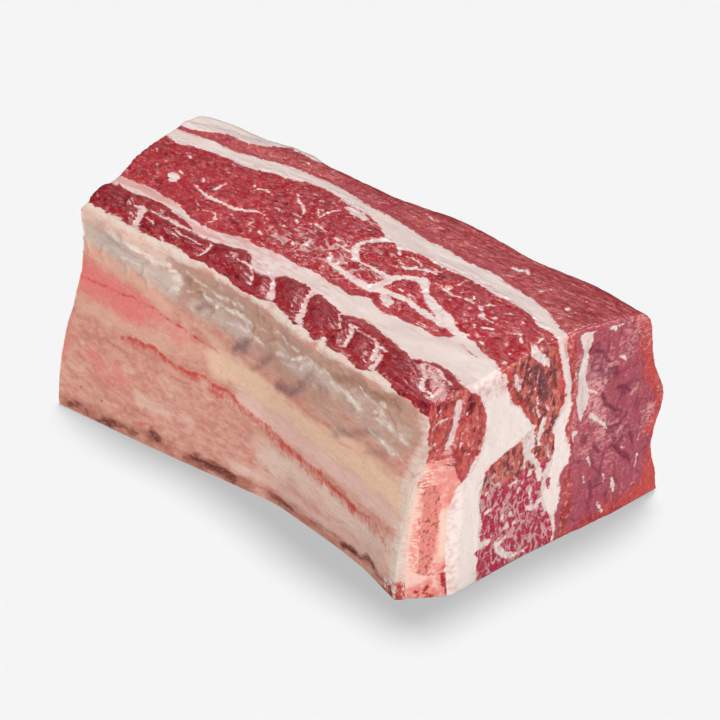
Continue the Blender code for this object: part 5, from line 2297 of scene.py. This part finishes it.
LINING_STAINS: dict[str, tuple[Stain, ...]] = {
    "milk": (
        Stain(5.5, 9, 0.85, ((0, 14), (15, 14), (32, 13), (50, 12))),
        Stain(2.5, 5, 0.5, ((-45, 12.5), (-36, 12), (-28, 12.5))),
        Stain(2.0, 3, 0.8, ((-73, 57.5), (-55, 57.5), (-38, 56))),
    ),
    "peach": (
        Stain(2.4, 5, 0.9, ((-70, 48), (-58, 47.5), (-45, 46.5), (-38, 45))),
        Stain(2.8, 6, 0.7, ((-73, 33), (-62, 33), (-50, 32.5), (-38, 33))),
        Stain(2.5, 7, 0.7, ((-38, 40), (-30, 36), (-20, 33))),
        Stain(1.6, 5, 0.5, ((-20, 42), (-10, 39), (5, 37.5))),
        Stain(1.0, 3, 0.7, ((-30, 56.5), (-14, 56.5))),
    ),
    "tan": (
        Stain(6.5, 7, 1.0, ((-33, 52), (-15, 52), (10, 52), (33, 52), (52, 51))),
        Stain(3.5, 6, 0.48, ((-12, 44), (10, 44), (30, 42), (50, 40))),
    ),
    "yellow": (
        Stain(4.2, 6, 1.0, ((-18, 35.5), (0, 34), (20, 32.5), (40, 31.5), (56, 31))),
        Stain(2.0, 5, 0.6, ((30, 38), (42, 37), (56, 37))),
    ),
    "umber": (
        Stain(2.0, 4, 0.6, ((-31, 53.5), (-26, 52))),
        Stain(0.9, 3, 0.3, ((-5, 56.3), (5, 56))),
        Stain(1.0, 2.5, 0.7, ((4.5, 52.5),)),
        Stain(1.2, 3.5, 0.75, ((28, 54.5), (40, 55.5))),
        Stain(1.6, 3, 0.9, ((40, 55.5), (50, 55.5))),
        Stain(0.8, 3, 0.25, ((-20, 54.5), (-12, 55.5))),
        Stain(0.6, 2, 0.5, ((-30, 49.5), (-25, 51.5), (-19, 50.8))),
        Stain(0.5, 1.8, 0.5, ((-16, 52.6), (-8, 53), (-3, 51.8))),
        Stain(1.0, 3, 0.5, ((12, 52), (18, 55.5))),
    ),
    "grey": (
        Stain(3.2, 5, 1.0, ((-70, 53), (-55, 53), (-42, 52), (-36, 50.5))),
        Stain(2.2, 5, 0.75, ((-27, 47), (-18, 48), (-8, 47.5))),
        Stain(2.6, 6, 0.7, ((8, 50), (25, 51))),
        Stain(3.6, 6, 0.4, ((30, 50), (42, 49), (53, 48))),
        Stain(2.0, 5, 0.4, ((22, 42), (38, 44), (50, 43))),
    ),
    "mauve": (
        Stain(3.4, 6, 0.9, ((-8, 28), (10, 26), (30, 25), (52, 24))),
        Stain(1.8, 4, 0.8, ((-12, 6.5), (10, 6), (30, 6), (48, 6.5))),
    ),
    "blush": (
        Stain(3.8, 8.5, 1.0, ((-70, 42.5), (-58, 41), (-48, 40.5))),
        Stain(2.0, 7.5, 0.7, ((-50, 40), (-41, 39.5), (-32, 38))),
        Stain(2.5, 5, 0.2, ((0, 27.5), (20, 26))),
        Stain(2.5, 7, 0.6, ((-70, 37.5), (-56, 37), (-46, 36))),
        Stain(4.0, 10, 0.42, ((-70, 24), (-62, 18), (-52, 16))),
        Stain(1.4, 4, 0.6, ((-73, 50), (-73.5, 30), (-74, 12))),
        Stain(0.4, 2, 0.4, ((0, 36.5), (20, 35.5), (40, 35))),
    ),
    "slate": (
        Stain(0.9, 4, 0.75, ((-26, 47), (-22, 50))),
        Stain(1.0, 4.5, 0.9, ((-13, 41.5), (-7, 46))),
        Stain(0.9, 4, 0.75, ((-5, 39), (-1, 43), (3, 47))),
        Stain(1.3, 5, 0.95, ((5, 38.5), (11, 41), (15, 44))),
        Stain(0.8, 4, 0.6, ((16, 45), (20, 50), (25, 48))),
        Stain(0.9, 5, 0.75, ((28, 37.5), (35, 41), (44, 45))),
        Stain(0.7, 4, 0.6, ((40, 36.5), (48, 42))),
        Stain(0.4, 2, 0.5, ((-68, 54.6), (-56, 54.6), (-46, 53.4))),
        Stain(0.4, 2, 0.5, ((-42, 50.5), (-37, 49.4))),
    ),
    "white": (
        Stain(0.5, 1.6, 0.85, ((-62, 56.3), (-52, 56.2), (-44, 55.4), (-38, 55.2))),
        Stain(0.4, 1.4, 0.6, ((-60, 52.6), (-50, 52), (-42, 51.4))),
        Stain(0.9, 2.4, 0.75, ((-37, 53.5), (-33, 51.5), (-36, 49.6))),
        Stain(0.7, 2.5, 0.7, ((-24, 51.5), (-16, 51.8), (-6, 52))),
        Stain(0.6, 2.5, 0.6, ((-15, 48), (-8, 49.5), (0, 49))),
        Stain(0.6, 2, 0.6, ((6, 49), (12, 51.5), (18, 54))),
        Stain(0.6, 2, 0.6, ((15, 50), (20, 53), (26, 53.5))),
        Stain(1.0, 3, 0.7, ((27, 52), (33, 50), (38, 49))),
        Stain(1.0, 3, 0.55, ((44, 51), (49, 48.5), (54, 47))),
        Stain(0.5, 2, 0.5, ((-32, 56), (-22, 54), (-10, 54.6))),
        Stain(0.4, 1.6, 0.5, ((-30, 50.5), (-26, 53), (-22, 51))),
        Stain(0.4, 1.6, 0.5, ((-2, 53.5), (6, 55), (14, 54.4))),
        Stain(0.7, 2, 0.6, ((38, 54), (46, 53))),
        Stain(0.7, 2.5, 0.6, ((42, 45), (50, 43.5), (55, 42))),
    ),
    "blood": (
        Stain(0.35, 1.2, 0.7, ((-70, 40.2), (-60, 40.8), (-50, 41.5), (-41, 41.3), (-33, 40.5),
                               (-25, 39), (-18, 38.3))),
        Stain(0.4, 1.6, 1.0, ((-52, 29), (-45, 29.5), (-40, 29.5), (-35, 28.5), (-25, 28),
                               (-15, 28.5), (-12, 27))),
        Stain(0.9, 4, 0.65, ((-50, 28.5), (-40, 28.5), (-25, 27), (-12, 25.5), (0, 23))),
        Stain(0.5, 1.6, 0.7, ((-12, 27), (-10, 25.5), (-5, 25), (0, 24), (5, 23), (8, 22),
                              (10, 21), (15, 20.5), (20, 22), (25, 19), (28, 18.5), (36, 18),
                              (45, 18), (48, 15))),
        Stain(2.2, 5, 0.46, ((2, 22), (15, 19.5), (30, 18), (48, 15.5))),
        Stain(0.4, 1, 0.9, ((-59, 6.5),)),
        Stain(0.4, 1, 0.9, ((-50, 8.5),)),
        Stain(0.4, 1, 0.7, ((-66.5, 7.5),)),
        Stain(0.5, 1.6, 0.6, ((-47, 5.5), (-40, 6.5))),
    ),
    # Darker brown along the foot of the chest face, and in a few patches higher up.
    "darker_brown": (
        Stain(2.0, 5, 0.8, ((-72, 1), (-58, 2), (-44, 3), (-34, 2))),
        Stain(2.0, 5, 0.8, ((-28, 1), (-18, 2.5), (-8, 2))),
        Stain(1.2, 3, 0.6, ((0, 1.5), (12, 1), (30, 2.5), (46, 4))),
        Stain(1.5, 4, 0.4, ((-50, 8), (-42, 9))),
        Stain(1.5, 5, 0.35, ((-66, 24), (-56, 26), (-40, 25), (-28, 23))),
    ),
    "clot": (
        Stain(0.6, 2.6, 0.7, ((-70, 1.2), (-66, 2.4), (-62, 1.4))),
        Stain(1.0, 3.0, 0.8, ((-58, 1.4), (-53, 2.6), (-46, 2.2))),
        Stain(1.3, 2.4, 0.85, ((-40, 4.6), (-37.5, 3.6))),
        Stain(0.7, 2.6, 0.7, ((-29, 1.2), (-25.5, 2.0))),
        Stain(1.4, 3.0, 0.9, ((-24, 2.6), (-18, 2.0), (-12.5, 2.8))),
        Stain(0.9, 2.6, 0.75, ((0, 1.4), (4, 2.2), (8, 2.0))),
        Stain(0.5, 2.6, 0.6, ((15, 2.4), (22, 3.6), (28, 4.0))),
        Stain(1.0, 3.0, 0.8, ((30, 2.2), (37, 4.2), (44, 5.0))),
        Stain(0.6, 2.6, 0.65, ((44, 2), (50, 2.4))),
    ),
}


@dataclass
class ChestLining(Layer):
    """The skin that lines the chest, over the rib and the muscle on it."""

    name: str = "chest_lining"
    slot: str = "lining"
    front: Surface = CHEST_FACE
    back: Surface = CUTS.lining_back
    hidden: tuple[Side, ...] = (Side.BACK,)
    base_step: int = 1
    finish: Finish = Finish("chest_lining_skin", LiningLook(),
                    (("bone_gap", BoneLook()), ("meat_gap", RIB_LOOK)), SKIN, 0.3)
    hollow_depth: float = 0.4
    hollow_sink: float = 0.3
    wrinkle_depth: float = 0.5
    ridge_depth: float = 0.12
    crumb_size: float = 1.5
    crumb_depth: float = 0.7
    crumb_border: float = 0.4
    upper_meat: float = 54.0

    def seam_gap(self) -> Array:
        """How far each point lies from what is behind the lining."""
        return self.from_back()

    def corner(self) -> Array:
        """How far into the crumbly near corner of the foot each point lies."""
        x, z = self.points[:, [0, 2]].T
        return smoothstep(45, 52, x) * fade(4.5, z - 2.2 - 0.12 * (x - 48))

    def carving(self) -> Array:
        """Soft hollows, fine wrinkles in the loose skin high up, and crumbs at the near foot.

        Returns:
            The relief at each point.
        """
        x, z = self.points[:, [0, 2]].T
        hollows = self.hollow_depth * Grain(41).rough(self.points, (17, 9, 9), 2) - self.hollow_sink
        loose = smoothstep(42, 50, z) * fade(6, x - 56)
        wrinkles = self.wrinkle_depth * Grain(42).creases(self.points, (8, 4, 3)) * loose
        ridges = self.ridge_depth * Grain(47).rough(self.points, (9, 2.6, 2.6))
        crumbs = self.crumb_depth * (self.in_crumb() - self.crumb_border)
        return mix(hollows + wrinkles + ridges, crumbs, self.corner()) * self.seen(Side.FRONT)

    def in_crumb(self) -> Array:
        """How far inside its own crumb each point lies, wherever the lining is crumbly."""
        return Grain(43).bundles(self.points, self.crumb_size)

    def marks(self) -> dict[str, Array]:
        """The soft bands and stains on the chest face, and what shows past the lining's edges.

        Returns:
            The marks by name.
        """
        x, y, z = self.points.T
        moves = [Grain(44).rough(self.points, 6), Grain(45).rough(self.points, 6)]
        places = self.points[:, [0, 2]] + np.stack(moves, 1)
        found = {name: share_of(stains, places) for name, stains in LINING_STAINS.items()}
        drops = smoothstep(-0.2, 0.4, Grain(46).smooth(self.points, (1.5, 1.5, 2.6)))
        found["blood"] = found["blood"] * (0.75 + 0.55 * drops) + 1.1 * drops * self.corner()
        rough = Grain(48).rough(self.points, (5, 5, 3))
        from_near = CUTS.near_cut(y, z) - x
        edge = 0.7 * fade(3.0, from_near - 1.0 - 1.5 * rough)
        from_top = CUTS.height - z - 0.6 - 1.0 * rough
        edge = np.maximum(edge, 0.85 * fade(1.8, from_top - 0.2))
        crumbs = self.corner()
        found["cream"] = np.maximum(np.maximum(edge, crumbs), 0.7 * self.cut_end())
        found["gore"] = 0.9 * fade(0.3, self.in_crumb() - 0.04) * crumbs
        found["clot"] = found["clot"] * (1 - crumbs)
        found.update(bone_marks(self.ends, self.from_front()))
        found.update(self.past_edges())
        return found

    def past_edges(self) -> dict[str, Array]:
        """How far from the meat and the bone that show past the lining's edges each point lies.

        Returns:
            The marks by name.
        """
        frayed = self.fray()
        upper = -beyond(LINING_LINE.top, *self.tops.T) + frayed
        high = self.seen(Side.TOP, Side.FRONT) & (self.points[:, 2] > self.upper_meat)
        on_end = self.seen(Side.NEAR, Side.FAR)
        outer = -beyond(LINING_LINE.end, *self.ends[:, ::-1].T) + frayed
        above = self.above_bone()
        meat = np.where(high, upper, FAR_AWAY)
        meat = np.where(on_end, np.maximum(outer, -above), meat)
        bone = np.where(on_end, np.maximum(outer, above), FAR_AWAY)
        meat, bone = (np.clip(gap, -FAR_AWAY, FAR_AWAY) for gap in (meat, bone))
        browned = RIB_BROWNED * on_end
        return {"meat_gap": meat, "bone_gap": bone, "fat_gap": -meat, "warm": browned}


@dataclass
class RibBone(Layer):
    """The sawn rib."""

    name: str = "rib_bone"
    slot: str = "bone"
    front: Surface = CUTS.lining_back
    back: Surface = RIB_TO_FAT
    foot: Surface = CUTS.bone_base
    head: Surface = CUTS.bone_head
    full_height: bool = False
    hidden: tuple[Side, ...] = (Side.FRONT, Side.BACK, Side.TOP)
    base_step: int = HIDDEN_STEP
    pore_size: float = 1.2
    pore_border: float = 0.4
    pore_depth: float = 0.25
    back_line: Line | None = RIB_LINE
    finish: Finish = Finish("sawn_bone", BoneLook(),
                    (("meat_gap", RIB_LOOK), ("drawn_depth", FatLook())), FIRM, 0.3)

    def carving(self) -> Array:
        """Pores in the core, on both saw cuts.

        Returns:
            The relief at each point.
        """
        pores = fade(self.pore_border, Grain(51).bundles(self.points, self.pore_size))
        core = bone_marks(self.ends, self.from_front())["core"]
        return -self.pore_depth * pores * core * self.cut_end()

    def marks(self) -> dict[str, Array]:
        """Those of the bone, and what shows past its edges.

        Returns:
            The marks by name.
        """
        above = self.above_bone()
        depth = np.where(self.seen(Side.NEAR, Side.FAR), self.depth(), FAR_AWAY)
        bone = bone_marks(self.ends, self.from_front())
        return {**bone, "meat_gap": -above, "fat_gap": np.minimum(above, depth),
                "drawn_depth": depth, "warm": RIB_BROWNED * self.cut_end()}


@dataclass
class LowerTrim(Layer):
    """The scraps of fat and meat below the bone."""

    name: str = "lower_trim"
    slot: str = "trim"
    front: Surface = CUTS.lining_back
    back: Surface = RIB_TO_FAT
    head: Surface = CUTS.bone_base
    full_height: bool = False
    hidden: tuple[Side, ...] = (Side.FRONT, Side.BACK, Side.TOP)
    crumb_size: float = 1.4
    crumb_depth: float = 0.8
    crumb_border: float = 0.4
    # The trim's lit end colour is pinker, and lighter as painted light on the end.
    finish: Finish = Finish("trimmed_scraps", FatLook(lit_end_white=(243, 196, 184), blush=(228, 120, 112)),
                    (("meat_gap", FleshLook(deep=(120, 30, 32), red=(168, 52, 48))),), FIRM)
    streaks: Veins = (
        Vein(2.0, ((-33.7, 7.3),)),
        Vein(1.6, ((-33.5, 5.5), (-32, 4))),
        Vein((1.6, 1.5, 1.1, 0.8), ((-28.5, 9.5), (-28, 6), (-27, 3), (-26, 0.8))),
        Vein(1.4, ((-38, 8.2), (-36.5, 7.4))),
        Vein(0.7, ((-30.5, 2.5), (-29.5, 0.5))),
    )

    def crumbly(self) -> Array:
        """How crumbly the foot of the saw cut is at each point."""
        y, z = self.points[:, 1:].T
        return fade(4.5, z - 1.6) * fade(4, y + 29) * self.cut_end()

    def carving(self) -> Array:
        """Crumbs at the foot of the saw cut."""
        return self.crumb_depth * (self.in_crumb() - self.crumb_border) * self.crumbly()

    def in_crumb(self) -> Array:
        """How far inside its own crumb each point lies, wherever the foot is crumbly."""
        return Grain(52).bundles(self.points, self.crumb_size)

    def marks(self) -> dict[str, Array]:
        """Red streaks, and bloody gaps between the crumbs.

        Returns:
            The marks by name.
        """
        gaps = self.in_crumb() - 0.22
        crumbly = self.crumbly()
        gap = np.minimum(self.vein_gap((), self.streaks), gaps * 2 + 3 * (1 - crumbly))
        pale = smoothstep(8.5, 12, self.ends[:, 1])
        return {"meat_gap": gap, "fat_gap": -gap, "pink": 0.6 * fade(3, gap) + 0.25 - 0.2 * pale}


@dataclass(frozen=True)
class Lamp:
    """One large, far lamp, and what its light does."""

    name: str
    strength: float
    azimuth: float
    elevation: float
    angle: float
    shadow: bool = False
    glint_only: bool = False

    def hang(self) -> None:
        """Hangs the lamp."""
        light = bpy.data.lights.new(self.name, "SUN")
        light.energy = self.strength * math.pi
        light.angle = math.radians(self.angle)
        light.use_shadow = self.shadow
        lamp = bpy.data.objects.new(self.name, light)
        bpy.context.scene.collection.objects.link(lamp)
        lamp.visible_diffuse = not self.glint_only
        lamp.visible_glossy = self.glint_only
        lamp.rotation_mode = "QUATERNION"
        towards = Vector(direction(self.azimuth, self.elevation))
        lamp.rotation_quaternion = towards.to_track_quat("Z", "Y")


@dataclass(frozen=True)
class Studio:
    """The floor, the soft light and the camera, which looks at the near corner of the block."""

    view_width: float = 0.189
    sensor: float = 36.0
    floor_size: float = 30.0
    floor_drop: float = 0.0002
    sky: float = 0.21
    lamps: tuple[Lamp, ...] = (
        Lamp("key_from_behind", 0.5, 211, 76, 16, shadow=True),
        Lamp("fill_from_front", 0.17, 48, 55, 30),
        Lamp("fill_on_the_end", 0.41, 80, 20, 30),
        Lamp("fill_on_the_chest", 0.33, 10, 20, 30),
        Lamp("glint_on_the_top", 0.3, 215, 50, 14, glint_only=True),
        Lamp("glint_on_the_end", 0.3, 140, 35, 14, glint_only=True),
    )

    def build(self) -> None:
        """Builds all of it."""
        self.lay_floor()
        self.set_sky()
        for lamp in self.lamps:
            lamp.hang()
        self.place_camera()

    def lay_floor(self) -> None:
        """Lays the floor just under the block."""
        half = self.floor_size / 2
        corners = [(-half, -half), (half, -half), (half, half), (-half, half)]
        mesh = bpy.data.meshes.new("floor")
        mesh.from_pydata([(x, y, -self.floor_drop) for x, y in corners], [], [(0, 1, 2, 3)])
        mesh.materials.append(FloorFinish().make())
        floor = bpy.data.objects.new("floor", mesh)
        floor.visible_glossy = False
        bpy.context.scene.collection.objects.link(floor)
        floor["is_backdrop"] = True

    def set_sky(self) -> None:
        """Sets an even white sky, and shows colours as they are painted."""
        world = bpy.data.worlds.new("studio")
        world.use_nodes = True
        sky = world.node_tree.nodes["Background"]
        sky.inputs["Color"].default_value = (1.0, 1.0, 1.0, 1.0)
        sky.inputs["Strength"].default_value = self.sky
        world.cycles_visibility.glossy = False
        bpy.context.scene.world = world
        bpy.context.scene.view_settings.view_transform = "Standard"

    def place_camera(self) -> None:
        """Places the camera."""
        data = bpy.data.cameras.new("camera")
        data.sensor_width = self.sensor
        data.lens = self.sensor * DISTANCE * MM / self.view_width
        camera = bpy.data.objects.new("camera", data)
        bpy.context.scene.collection.objects.link(camera)
        back = Vector(direction(AZIMUTH, ELEVATION))
        camera.location = (Vector(TARGET) + back * DISTANCE) * MM
        camera.rotation_mode = "QUATERNION"
        camera.rotation_quaternion = (-back).to_track_quat("-Z", "Y")
        bpy.context.scene.camera = camera


def main() -> None:
    """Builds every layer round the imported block, then the studio."""
    logging.basicConfig(level=logging.INFO, format="%(message)s")
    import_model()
    low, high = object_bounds()
    layers = (ChestLining(), RibBone(), LowerTrim(), RibMuscle(), DeepFat(), InnerMuscle(),
              SeamFat(), OuterMuscle(), FatCap())
    for layer in layers:
        piece = layer.make(low, high)
        log.info("%s: %d points", piece.name, len(piece.data.vertices))
    Studio().build()


if __name__ == "__main__":
    main()
